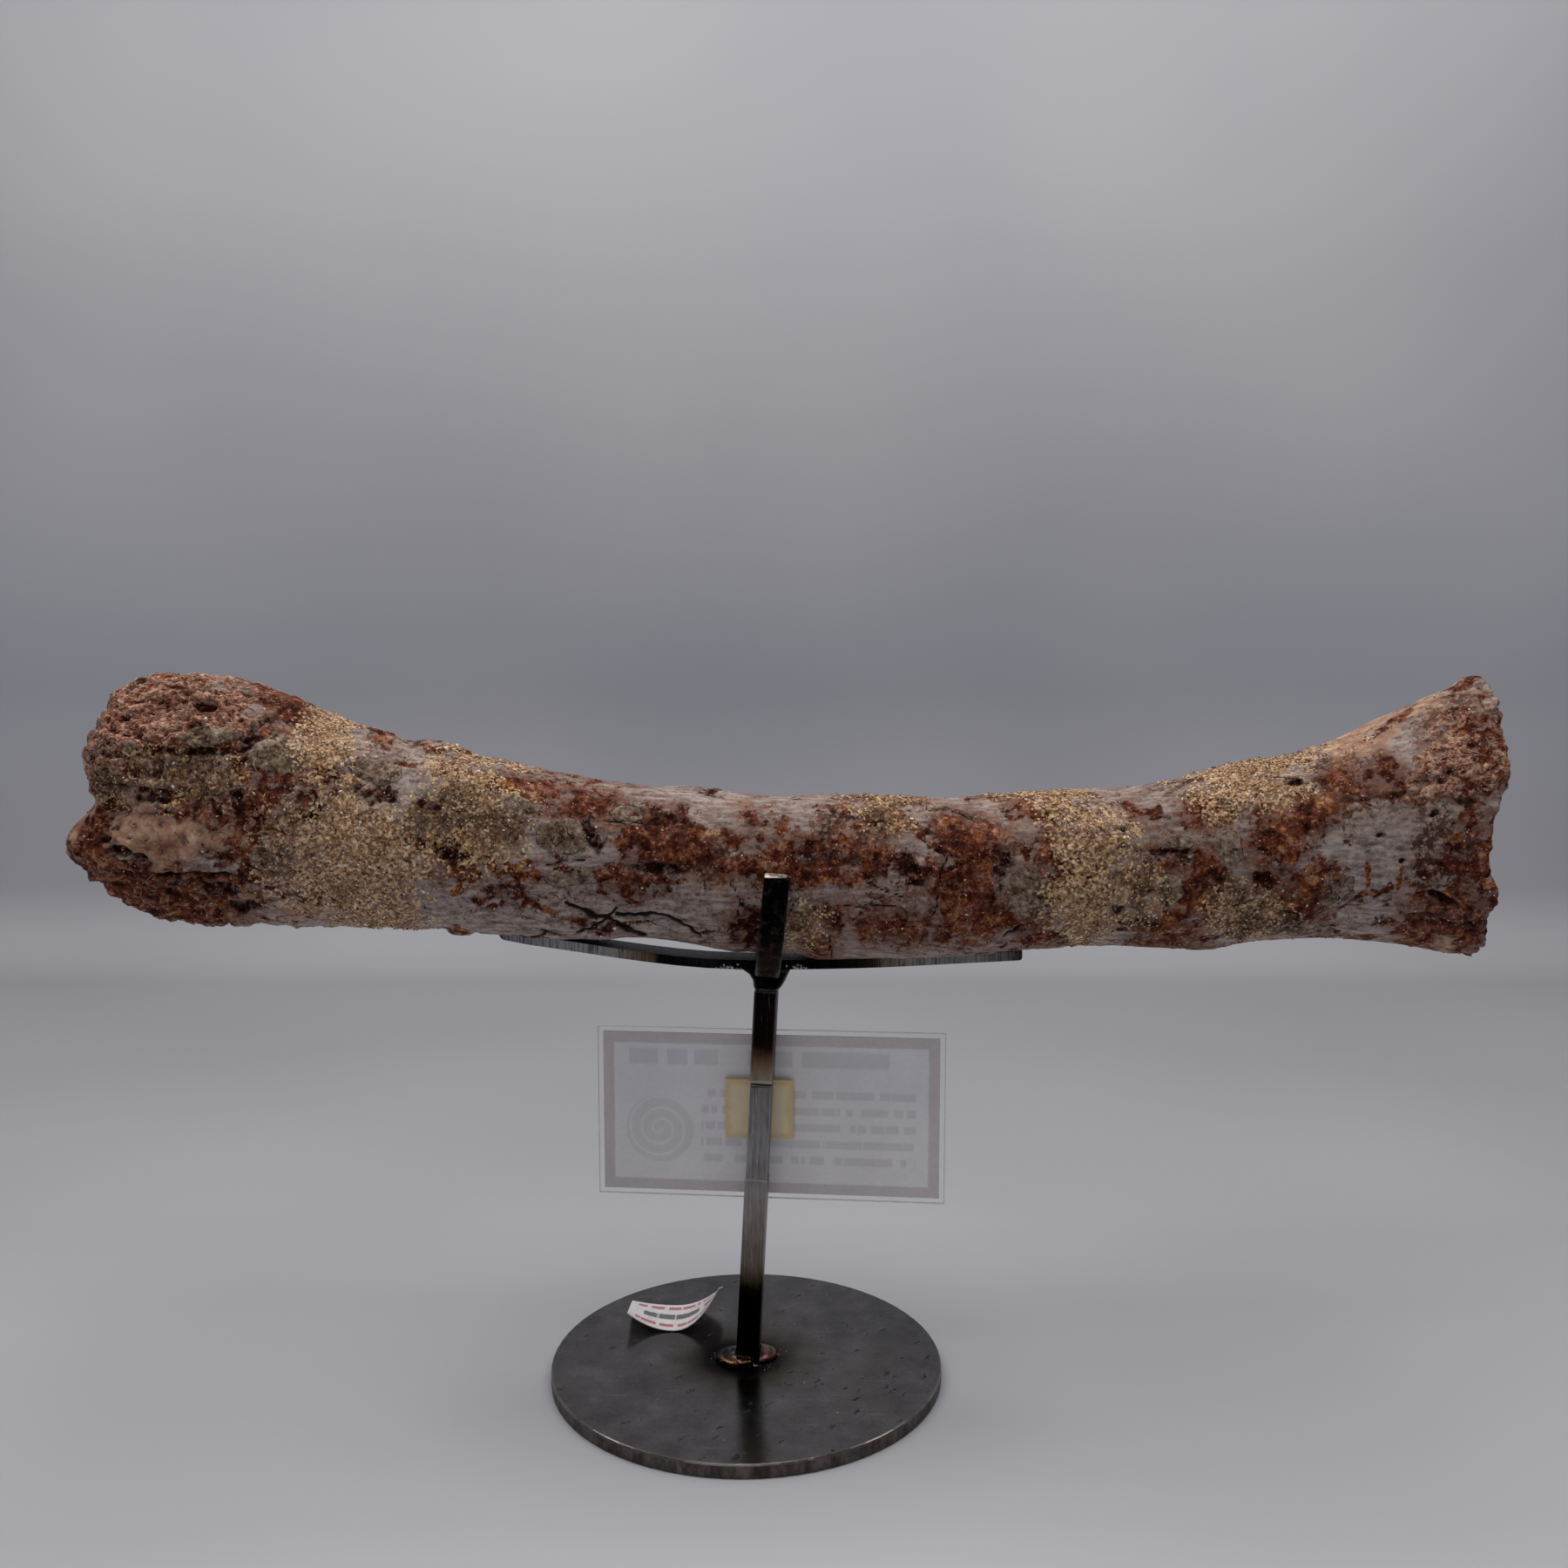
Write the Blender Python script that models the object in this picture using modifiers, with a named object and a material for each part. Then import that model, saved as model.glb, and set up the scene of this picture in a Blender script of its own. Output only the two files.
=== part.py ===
"""Fossil thigh bone on its welded steel stand.

The bone lies level, with its two-lobed knee end towards -X and its broken,
flared end towards +X. The side that is seen from the front faces -Y. The origin
is the centre of the underside of the base disc, and +Z points up. Blender gets
metres; the lists of points below are in millimetres and are scaled once."""

import math

import bmesh
import bpy
from mathutils import Matrix, Vector, noise

MM = 0.001
GAP = 0.3

# Steel stand, millimetres and degrees
DISC_RADIUS = 50.8
DISC_THICKNESS = 3.6
DISC_EDGE_ROUND = 0.4
POST_WIDTH = 5.9
POST_SLIM_WIDTH = 5.4
POST_FOOT = (0.35, 0.0, DISC_THICKNESS + 0.5)
POST_LEAN = 2.9
POST_TURN = -4.5
POST_SHOULDER = 48.3
POST_JOINT = 73.7
POST_HEIGHT = 98.0
BAR_EDGE_ROUND = 0.45
KNOT_X = 5.3
KNOT_CENTRE = (KNOT_X, 0.0, 105.0)
PRONG_WIDTH = 6.2
PRONG_CHAMFER = 1.2
PRONG_RADIUS = 26.5
PRONG_CENTRE_Z = 132.0
PRONG_START_Y = 5.3
FRONT_PRONG_TOP = 135.2
REAR_PRONG_TOP = 139.0
FRONT_PRONG_LEAN = 5.4
REAR_PRONG_LEAN = 2.0
ARM_WIDTH = 9.5
ARM_THICKNESS = 2.4
LEFT_TIP_ROUND = 2.0
RIGHT_TIP_ROUND = 0.8
BEND_STEPS = 9

# Weld at the disc: pools as (x, y, radius, height), and their profile as (outwards, upwards)
WELD_POINTS = 20
WELD_SQUARENESS = 0.5
WELD_POOLS = ((-2.6, -1.2, 5.5, 1.7), (3.4, 1.0, 4.6, 1.4))
POOL_PROFILE = ((1.0, 0.0), (0.93, 0.45), (0.72, 0.8), (0.4, 1.0))

# Weld under the bone: height above the post, reach to the left and the right, half depth
CRADLE_WELD_LAYERS = ((GAP, 3.1, 3.2, 3.1), (1.2, 3.3, 3.9, 3.7), (2.6, 3.5, 4.7, 4.2), (4.2, 4.6, 5.3, 4.6),
                      (5.4, 6.6, 5.8, 4.7))

# Undersides of the two arms, as (x, z)
LEFT_ARM_LINE = ((4.9, 107.9), (-1.4, 108.0), (-12, 108.5), (-27, 110.2), (-47, 113.2), (-62.2, 115.4))
RIGHT_ARM_LINE = ((5.5, 107.9), (20, 108.1), (32, 108.4), (54, 109.5), (69.9, 110.3))

# Side outline of the bone, as (x, z): its crest and its keel
CREST_LINE = (
    (-150, 181.9), (-138, 183.0), (-127, 181.6), (-116, 176.0), (-105, 171.4), (-93, 167.2), (-80, 164.0),
    (-67, 161.9), (-54, 158.7), (-34, 155.3), (-12, 153.3), (6, 152.1), (32, 151.6), (54, 151.0), (76, 152.7),
    (98, 154.0), (120, 158.5), (142, 163.0), (157, 169.4), (170, 175.6), (184, 182.4))
KEEL_LINE = (
    (-150, 121.0), (-140, 118.6), (-118, 119.2), (-95, 118.2), (-68, 117.8), (-35, 115.8), (-16, 114.4),
    (0, 112.2), (8, 111.8), (30, 111.0), (56, 111.8), (68, 112.8), (88, 114.0), (110, 113.4), (132, 115.0),
    (150, 115.2), (165, 114.0), (185, 110.2))

# Half depth of the bone towards the front and the back, as (x, depth)
FRONT_LINE = (
    (-150, 24.0), (-125, 24.0), (-100, 21.8), (-70, 20.4), (-30, 19.6), (6, 19.4), (60, 19.4), (110, 20.2),
    (150, 22.6), (180, 25.0))
BACK_LINE = (
    (-150, 27.0), (-125, 26.0), (-100, 22.6), (-70, 20.6), (-30, 19.6), (6, 19.4), (60, 19.2), (110, 20.6),
    (150, 23.6), (180, 26.0))

# The bone's skin: rings along it, points round it, and shrinking rings that close its ends
RING_STEP = 4.3
RING_POINTS = 40
SQUARENESS = 0.92
KNEE_RING_X = -150.0
BREAK_RING_X = 178.0
KNEE_CAP_ANGLES = (16, 31, 45, 58, 70, 81)
BREAK_CAP_SHRINK = (0.98, 0.93, 0.82, 0.66, 0.48, 0.28)
BREAK_FLARE_X = 156.0
BREAK_HOLLOW = 2.6
ARM_SEAT_ROOM = 2.5
PRONG_SEAT_ROOM = 3.2
SEAT_GAP = 0.5

# How far the ends stick out past their last full rings, with hills as (height z, width, rise)
KNEE_REACH = 10.6
KNEE_HILLS = ((165, 8, 4.6), (138, 8.8, 13.2))
BREAK_REACH = 2.6
BREAK_HILLS = ((160, 9, 1.4), (141, 6, -1.2))
RIM_HILLS = ((181, 10, 5.8), (110, 12, 6.2), (163, 9, 3.8), (129, 5, 1.8))
RIM_START = -0.6

# Shallow groove between the knee lobes
GROOVE_Z = 151.0
GROOVE_WIDTH = 6.0
GROOVE_DEPTH = 3.4
GROOVE_END_X = -112.0
GROOVE_FADE = 40.0

# Lumps (+) and pits (-) on the bone: x, turn round the bone in degrees (0 front,
# 90 top, 180 back, 270 underside), half length, half width, height
RELIEF = (
    (-76, 88, 6, 5, 1.7), (-93, 84, 5, 4, 0.9), (-108, 96, 6, 5, 0.9), (-120, 78, 8, 6, 1.0),
    (-137, 50, 4, 3.5, -2.6), (-131, 57, 4, 3, 1.2), (-145, 72, 9, 6, 0.9), (-118, 40, 9, 5, 1.2),
    (-138, 25, 11, 3, 1.9), (-136, 15, 11, 3, -2.4), (-152, -2, 5, 4, -3.8), (-149, -12, 4, 2, 1.0),
    (-140, -22, 14, 7, 0.9), (-149, -44, 4, 4, -3.0), (-136, -50, 5, 4, -3.8), (-124, -54, 4, 3.5, -3.2),
    (-130, -62, 6, 4, 1.2), (-112, -66, 5, 4, 0.8), (-95, -10, 12, 15, 0.8), (-98, -60, 8, 6, -0.6),
    (-73, -85, 3, 4, 1.3), (-74, -36, 3, 3, 1.3), (-66, 20, 10, 5, -0.7), (-40, 30, 12, 5, 0.6),
    (-28, -30, 10, 6, -0.6), (24, 52, 10, 5, 0.6), (56, -8, 9, 12, 0.7), (78, 10, 9, 16, 0.9),
    (97, 20, 8, 12, -0.7), (106, -30, 7, 7, 0.9), (116, -80, 7, 5, 1.2), (103, -84, 5, 4, 0.9),
    (125, 48, 10, 6, 0.7), (129, -4, 5, 5, 2.0), (122, -30, 4, 4, -2.2), (137, -20, 6, 6, 1.3),
    (140, 40, 3, 2.5, -1.8), (134, -46, 6, 5, 1.0), (170, 24, 10, 9, 0.8), (176, -36, 9, 8, 1.2),
    (166, 76, 7, 4, 1.0), (180, 86, 4, 3, 1.3), (-140, 150, 8, 7, -2.8), (-152, 190, 6, 4, -3.4),
    (-128, 170, 10, 8, 1.4), (-134, 224, 7, 6, -2.6), (-112, 200, 10, 8, 1.1), (-84, 150, 10, 9, 1.0),
    (-60, 214, 9, 8, -0.9), (-36, 168, 12, 8, 0.8), (34, 196, 12, 8, 0.8), (62, 160, 8, 6, -0.9),
    (86, 206, 10, 10, 1.2), (108, 158, 9, 8, 0.9), (132, 190, 7, 7, -1.6), (146, 214, 8, 7, 1.4),
    (168, 158, 9, 9, 1.1), (-20, 110, 8, 5, 0.7), (44, 84, 10, 5, 0.6))
GRAIN_SIZE = 13.0
GRAIN_HEIGHT = 0.9
END_GRAIN_SIZE = 9.0
END_GRAIN_HEIGHT = 1.3

# Label card, tape and sticker
CARD_SIZE = (91.4, 0.5, 45.4)
CARD_CENTRE = (6.1, 5.4, 67.2)
CARD_TURN = -5.3
TAPE_SIZE = (17.6, 1.0, 15.6)
TAPE_CENTRE = (3.3, 4.2, 69.1)
STICKER_SIZE = (26.0, 15.2)
STICKER_CENTRE = (-20.2, 21.4)
STICKER_THICKNESS = 0.2
STICKER_SHORTENING = 0.005
STICKER_CURL = {"left front": 5.0, "left back": 1.4, "right front": 12.0, "right back": 5.5}


def curve_at(points, x):
    """Height at x of a smooth line through points, flat beyond its ends."""
    if x <= points[0][0]:
        return points[0][1]
    if x >= points[-1][0]:
        return points[-1][1]
    i = next(k for k in range(len(points) - 1) if x <= points[k + 1][0])
    (x0, z0), (x1, z1) = points[i], points[i + 1]
    slope = (z1 - z0) / (x1 - x0)
    before = (z0 - points[i - 1][1]) / (x0 - points[i - 1][0]) if i > 0 else slope
    after = (points[i + 2][1] - z1) / (points[i + 2][0] - x1) if i + 2 < len(points) else slope
    step, t = x1 - x0, (x - x0) / (x1 - x0)
    start, end = step * (before + slope) / 2, step * (slope + after) / 2
    return (z0 * (1 + 2 * t) * (1 - t) ** 2 + start * t * (1 - t) ** 2
            + z1 * t * t * (3 - 2 * t) + end * t * t * (t - 1))


def bump(distance, width):
    """A smooth hill of height 1 that fades over width."""
    return math.exp(-(distance / width) ** 2)


def hills_at(z, hills):
    """Height at z of hills given as (place, width, rise)."""
    return sum(rise * bump(z - place, width) for place, width, rise in hills)


def make_material(name, colour, roughness, metallic=0.0):
    """A Principled material with the piece's colour."""
    material = bpy.data.materials.new(name)
    material.use_nodes = True
    shader = material.node_tree.nodes["Principled BSDF"]
    shader.inputs["Base Color"].default_value = (*colour, 1.0)
    shader.inputs["Roughness"].default_value = roughness
    shader.inputs["Metallic"].default_value = metallic
    return material


def make_collection(name):
    """A new collection in the scene."""
    collection = bpy.data.collections.new(name)
    bpy.context.scene.collection.children.link(collection)
    return collection


def add_piece(name, data, material, collection):
    """An object for a mesh or a curve, with its material."""
    piece = bpy.data.objects.new(name, data)
    data.materials.append(material)
    collection.objects.link(piece)
    return piece


def mesh_from(bm, name):
    """A mesh in metres from a bmesh in millimetres, with its faces pointing out."""
    bmesh.ops.recalc_face_normals(bm, faces=bm.faces)
    bmesh.ops.scale(bm, vec=Vector((MM, MM, MM)), verts=bm.verts)
    mesh = bpy.data.meshes.new(name)
    bm.to_mesh(mesh)
    bm.free()
    return mesh


def add_bevel(piece, width, segments=2):
    """Rounded edges, in millimetres."""
    bevel = piece.modifiers.new("rounded edges", "BEVEL")
    bevel.width = width * MM
    bevel.segments = segments
    bevel.limit_method = "ANGLE"
    bevel.angle_limit = math.radians(40)


def close_loft(bm, loops):
    """Side faces between closed loops of vertices, and a face at each end."""
    for lower, upper in zip(loops, loops[1:]):
        for i in range(len(lower)):
            j = (i + 1) % len(lower)
            bm.faces.new((lower[i], lower[j], upper[j], upper[i]))
    bm.faces.new(loops[0][::-1])
    bm.faces.new(loops[-1])


def box_mesh(name, size, centre=(0, 0, 0)):
    """A box of the given size in millimetres."""
    bm = bmesh.new()
    bmesh.ops.create_cube(bm, size=1.0)
    bmesh.ops.scale(bm, vec=Vector(size), verts=bm.verts)
    bmesh.ops.translate(bm, vec=Vector(centre), verts=bm.verts)
    return mesh_from(bm, name)


def strip_curve(name, outline, width):
    """A flat outline in its own X-Y plane, made as thick as width, centred on the plane."""
    curve = bpy.data.curves.new(name, "CURVE")
    curve.dimensions = "2D"
    curve.fill_mode = "BOTH"
    curve.extrude = width / 2 * MM
    spline = curve.splines.new("POLY")
    spline.points.add(len(outline) - 1)
    for point, (a, b) in zip(spline.points, outline):
        point.co = (a * MM, b * MM, 0, 1)
    spline.use_cyclic_u = True
    return curve


def arm_top(x):
    """Height of the arms' upper faces at x, or None past their ends."""
    for line in (LEFT_ARM_LINE[::-1], RIGHT_ARM_LINE):
        if line[0][0] - 2 <= x <= line[-1][0] + 2:
            return curve_at(line, x) + ARM_THICKNESS
    return None


def relief_at(x, turn, girth):
    """Height of the lumps and pits at x and turn, where girth is the bone's radius there."""
    height = 0.0
    for centre_x, centre_turn, half_length, half_width, rise in RELIEF:
        round_by = (turn - centre_turn + 180) % 360 - 180
        height += rise * bump(x - centre_x, half_length) * bump(math.radians(round_by) * girth, half_width)
    return height


def groove_at(x, z):
    """Depth of the shallow groove that runs from between the knee lobes along the bone."""
    fade = max(0.0, min(1.0, (GROOVE_END_X - x) / GROOVE_FADE))
    return GROOVE_DEPTH * fade * bump(z - GROOVE_Z, GROOVE_WIDTH)


def seat(point):
    """Keeps a point of the bone clear of the arms and the prongs that hold it."""
    x, y, z = point
    top = arm_top(x)
    if top is not None and abs(y) < ARM_WIDTH / 2 + ARM_SEAT_ROOM and z < PRONG_CENTRE_Z:
        z = max(z, top + SEAT_GAP)
    prong_x = KNOT_X + max(0.0, z - KNOT_CENTRE[2]) * math.tan(math.radians(FRONT_PRONG_LEAN)) / 2
    if abs(x - prong_x) < PRONG_WIDTH / 2 + PRONG_SEAT_ROOM + RING_STEP / 2:
        room = PRONG_RADIUS - PRONG_WIDTH - SEAT_GAP
        reach = math.hypot(y, z - PRONG_CENTRE_Z)
        if reach > room and z < REAR_PRONG_TOP + PRONG_SEAT_ROOM:
            y *= room / reach
            z = PRONG_CENTRE_Z + (z - PRONG_CENTRE_Z) * room / reach
    return Vector((x, y, z))


def break_shift(x, z):
    """How much further out the broken rim runs along its crest, its keel and a tongue between them."""
    ramp = max(0.0, (x - BREAK_FLARE_X) / (BREAK_RING_X - BREAK_FLARE_X))
    return ramp * (RIM_START + hills_at(z, RIM_HILLS))


def skin_point(x, turn):
    """A point of the bone's skin at x, turn degrees round from the front over the top."""
    angle = math.radians(turn)
    across, up = math.cos(angle), math.sin(angle)
    line_x = x
    for _ in range(2):
        crest, keel = curve_at(CREST_LINE, line_x), curve_at(KEEL_LINE, line_x)
        middle, half_height = (crest + keel) / 2, (crest - keel) / 2
        z = middle + half_height * math.copysign(abs(up) ** SQUARENESS, up)
        line_x = x + break_shift(x, z)
    depth = curve_at(FRONT_LINE if across > 0 else BACK_LINE, x)
    y = -depth * math.copysign(abs(across) ** SQUARENESS, across)
    x = line_x
    away = Vector((0, y, z - middle)).normalized()
    raised = relief_at(x, turn, (depth + half_height) / 2) - groove_at(x, z)
    grain = noise.noise(Vector((x, y, z)) / GRAIN_SIZE) * GRAIN_HEIGHT
    return Vector((x, y, z)) + away * (raised + grain), middle


def end_grain(point):
    """Roughness of the two ends."""
    return noise.noise(point / END_GRAIN_SIZE + Vector((7, 3, 5))) * END_GRAIN_HEIGHT


def cap_rings(ring_x, rings):
    """Rings that close an end: rings holds (shrink, reach function of z and shrink) pairs."""
    turns = [360 * k / RING_POINTS for k in range(RING_POINTS)]
    closing = []
    for shrink, reach in rings:
        ring = []
        for turn in turns:
            point, middle = skin_point(ring_x, turn)
            centre = Vector((ring_x, 0, middle))
            inner = centre + (point - centre) * shrink
            inner.x += reach(inner)
            ring.append(inner)
        closing.append(ring)
    return closing


def bone_rings():
    """All the rings of the bone's skin, from the knee end's innermost to the broken end's."""
    knee, broken = [], []
    for angle in KNEE_CAP_ANGLES:
        shrink, out = math.cos(math.radians(angle)), math.sin(math.radians(angle))
        knee.append((shrink, lambda p, out=out:
                     -(KNEE_REACH + hills_at(p.z, KNEE_HILLS) + end_grain(p)) * out))
    for shrink in BREAK_CAP_SHRINK:
        out = (1 - shrink ** 6) ** (1 / 3)
        hollow = BREAK_HOLLOW * (1 - shrink ** 2)
        broken.append((shrink, lambda p, out=out, hollow=hollow:
                       (BREAK_REACH + hills_at(p.z, BREAK_HILLS)) * out - hollow + end_grain(p) * out * out))
    rings = cap_rings(KNEE_RING_X, knee)[::-1]
    count = round((BREAK_RING_X - KNEE_RING_X) / RING_STEP)
    for k in range(count + 1):
        x = KNEE_RING_X + (BREAK_RING_X - KNEE_RING_X) * k / count
        rings.append([seat(skin_point(x, 360 * i / RING_POINTS)[0]) for i in range(RING_POINTS)])
    return rings + cap_rings(BREAK_RING_X, broken)


def make_femur(collection):
    """The bone: a loft through unlike sections, from the round knee end to the broken one."""
    bm = bmesh.new()
    rings = [[bm.verts.new(point) for point in ring] for ring in bone_rings()]
    for ring, following in zip(rings, rings[1:]):
        for i in range(RING_POINTS):
            j = (i + 1) % RING_POINTS
            bm.faces.new((ring[i], ring[j], following[j], following[i]))
    for ring in (rings[0], rings[-1]):
        centre = sum((v.co for v in ring), Vector()) / RING_POINTS
        tip = bm.verts.new(centre)
        for i in range(RING_POINTS):
            bm.faces.new((ring[i], ring[(i + 1) % RING_POINTS], tip))
    mesh = mesh_from(bm, "femur")
    mesh.shade_smooth()
    bone = make_material("fossil bone", (0.30, 0.19, 0.15), 0.85)
    return add_piece("femur", mesh, bone, collection)


def make_disc(steel, collection):
    """The round plate that the stand rests on."""
    bm = bmesh.new()
    bmesh.ops.create_cone(bm, cap_ends=True, segments=72, radius1=DISC_RADIUS, radius2=DISC_RADIUS,
                          depth=DISC_THICKNESS)
    bmesh.ops.translate(bm, vec=Vector((0, 0, DISC_THICKNESS / 2)), verts=bm.verts)
    disc = add_piece("base_disc", mesh_from(bm, "base_disc"), steel, collection)
    add_bevel(disc, DISC_EDGE_ROUND)
    return disc


def post_axis(collection):
    """An empty at the foot of the post that leans and turns everything welded to it."""
    axis = bpy.data.objects.new("post_axis", None)
    axis.location = Vector(POST_FOOT) * MM
    axis.rotation_euler = (0, math.radians(POST_LEAN), math.radians(POST_TURN))
    collection.objects.link(axis)
    return axis


def make_lower_post(steel, axis, collection):
    """The lower bar: full width up to a shoulder, then a slimmer stretch."""
    bm = bmesh.new()
    bmesh.ops.create_cube(bm, size=1.0)
    bmesh.ops.scale(bm, vec=Vector((POST_WIDTH, POST_WIDTH, POST_SHOULDER)), verts=bm.verts)
    bmesh.ops.translate(bm, vec=Vector((0, 0, POST_SHOULDER / 2)), verts=bm.verts)
    top = max(bm.faces, key=lambda face: face.calc_center_median().z)
    bmesh.ops.inset_individual(bm, faces=[top], thickness=(POST_WIDTH - POST_SLIM_WIDTH) / 2)
    raised = bmesh.ops.extrude_face_region(bm, geom=[top])["geom"]
    slim = [v for v in raised if isinstance(v, bmesh.types.BMVert)]
    bmesh.ops.translate(bm, vec=Vector((0, 0, POST_JOINT - GAP - POST_SHOULDER)), verts=slim)
    bmesh.ops.delete(bm, geom=[top], context="FACES")
    post = add_piece("lower_post", mesh_from(bm, "lower_post"), steel, collection)
    post.parent = axis
    add_bevel(post, BAR_EDGE_ROUND / 2, 1)
    return post


def make_upper_post(steel, axis, collection):
    """The upper bar, with its rounded lower rim over the slim stretch."""
    height = POST_HEIGHT - POST_JOINT
    size = (POST_WIDTH, POST_WIDTH, height)
    mesh = box_mesh("upper_post", size, (0, 0, POST_JOINT + height / 2))
    post = add_piece("upper_post", mesh, steel, collection)
    post.parent = axis
    add_bevel(post, BAR_EDGE_ROUND)
    return post


def make_base_weld(steel, axis, collection, cutters):
    """Two pools of weld that run together round the foot of the post."""
    bm = bmesh.new()
    angles = [math.tau * k / WELD_POINTS for k in range(WELD_POINTS)]
    for x, y, radius, height in WELD_POOLS:
        loops = []
        for out, up in POOL_PROFILE:
            level = DISC_THICKNESS + GAP + height * up
            reach = radius * out
            loops.append([bm.verts.new((x + reach * math.cos(a), y + reach * math.sin(a), level))
                          for a in angles])
        close_loft(bm, loops)
    weld = add_piece("base_weld", mesh_from(bm, "base_weld"), steel, collection)
    hole_size = (POST_WIDTH + 2 * GAP, POST_WIDTH + 2 * GAP, POST_SHOULDER)
    hole = add_piece("post hole", box_mesh("post hole", hole_size), steel, cutters)
    hole.parent = axis
    cut = weld.modifiers.new("pools run together round the post", "BOOLEAN")
    cut.operation = "DIFFERENCE"
    cut.use_self = True
    cut.object = hole
    return weld


def make_cradle_weld(steel, axis, collection):
    """The weld knot on top of the post, which spreads out under the arms."""
    bm = bmesh.new()
    loops = []
    for up, left, right, half_depth in CRADLE_WELD_LAYERS:
        loop = []
        for k in range(WELD_POINTS):
            a = math.tau * k / WELD_POINTS
            across, along = math.cos(a), math.sin(a)
            x = (right if across > 0 else left) * math.copysign(abs(across) ** WELD_SQUARENESS, across)
            y = half_depth * math.copysign(abs(along) ** WELD_SQUARENESS, along)
            loop.append(bm.verts.new((x, y, POST_HEIGHT + up)))
        loops.append(loop)
    close_loft(bm, loops)
    weld = add_piece("cradle_weld", mesh_from(bm, "cradle_weld"), steel, collection)
    weld.parent = axis
    return weld


def make_arm(name, line, tip_radius, steel, collection):
    """A flat strip with its underside along line and its lower tip corner rounded."""
    start, end = line[0][0], line[-1][0]
    ordered = sorted(line)
    under = []
    for k in range(BEND_STEPS + 1):
        x = start + (end - start) * k / BEND_STEPS
        under.append((x, curve_at(ordered, x)))
    outward = math.copysign(1, end - start)
    tip_x, tip_z = under[-1]
    rounded = [(tip_x - outward * tip_radius * (1 - math.sin(a)), tip_z + tip_radius * (1 - math.cos(a)))
               for a in (math.radians(15 * k) for k in range(7))]
    over = [(x, z + ARM_THICKNESS) for x, z in reversed(under)]
    arm = add_piece(name, strip_curve(name, under[:-1] + rounded + over, ARM_WIDTH), steel, collection)
    arm.rotation_euler = (math.radians(90), 0, 0)
    return arm


def make_prong(name, side, top, lean, steel, collection):
    """A square bar that bends up round the bone; side is -1 at the front and 1 at the back."""
    outer, inner = PRONG_RADIUS, PRONG_RADIUS - PRONG_WIDTH

    def arc(radius):
        start = math.asin(PRONG_START_Y / radius)
        angles = [start + (math.pi / 2 - start) * k / BEND_STEPS for k in range(BEND_STEPS + 1)]
        return [(radius * math.sin(a), -radius * math.cos(a)) for a in angles]

    rise = top - PRONG_CENTRE_Z
    end = [(outer, rise - PRONG_CHAMFER), (outer - PRONG_CHAMFER / 2, rise),
           (inner + PRONG_CHAMFER / 3, rise)]
    outline = arc(outer) + end + arc(inner)[::-1]
    prong = add_piece(name, strip_curve(name, outline, PRONG_WIDTH), steel, collection)
    knot = Vector(KNOT_CENTRE) * MM
    upright = Matrix(((0, 0, side), (side, 0, 0), (0, 1, 0))).to_4x4()
    place = Matrix.Translation(Vector((KNOT_X, 0, PRONG_CENTRE_Z)) * MM) @ upright
    tilt = Matrix.Rotation(math.radians(lean), 4, "Y")
    prong.matrix_world = Matrix.Translation(knot) @ tilt @ Matrix.Translation(-knot) @ place
    return prong


def make_card(collection):
    """The laminated label that hangs behind the post, and the tape that holds it."""
    film = make_material("laminated paper", (0.62, 0.61, 0.62), 0.3)
    card = add_piece("specimen_card", box_mesh("specimen_card", CARD_SIZE), film, collection)
    card.location = Vector(CARD_CENTRE) * MM
    card.rotation_euler = (0, 0, math.radians(CARD_TURN))
    foam = make_material("yellow foam tape", (0.70, 0.58, 0.28), 0.7)
    tape = add_piece("mounting_tape", box_mesh("mounting_tape", TAPE_SIZE), foam, collection)
    tape.location = Vector(TAPE_CENTRE) * MM
    tape.rotation_euler = card.rotation_euler
    return card, tape


def make_sticker(collection):
    """A paper label whose ends have curled up off the disc."""
    columns, rows = 14, 6
    bm = bmesh.new()
    grid = bmesh.ops.create_grid(bm, x_segments=columns, y_segments=rows, size=0.5)["verts"]
    for vert in grid:
        along, back = vert.co.x * 2, vert.co.y + 0.5
        end = "left" if along < 0 else "right"
        curl = STICKER_CURL[end + " front"] * (1 - back) + STICKER_CURL[end + " back"] * back
        shorter = 1 - STICKER_SHORTENING * abs(along) * curl
        vert.co.x = STICKER_CENTRE[0] + along * STICKER_SIZE[0] / 2 * shorter
        vert.co.y = STICKER_CENTRE[1] + (back - 0.5) * STICKER_SIZE[1]
        vert.co.z = DISC_THICKNESS + GAP + curl * along * along
    mesh = mesh_from(bm, "price_sticker")
    paper = make_material("white sticker paper", (0.75, 0.74, 0.75), 0.6)
    sticker = add_piece("price_sticker", mesh, paper, collection)
    solid = sticker.modifiers.new("paper", "SOLIDIFY")
    solid.thickness = STICKER_THICKNESS * MM
    solid.offset = 0
    return sticker


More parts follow.
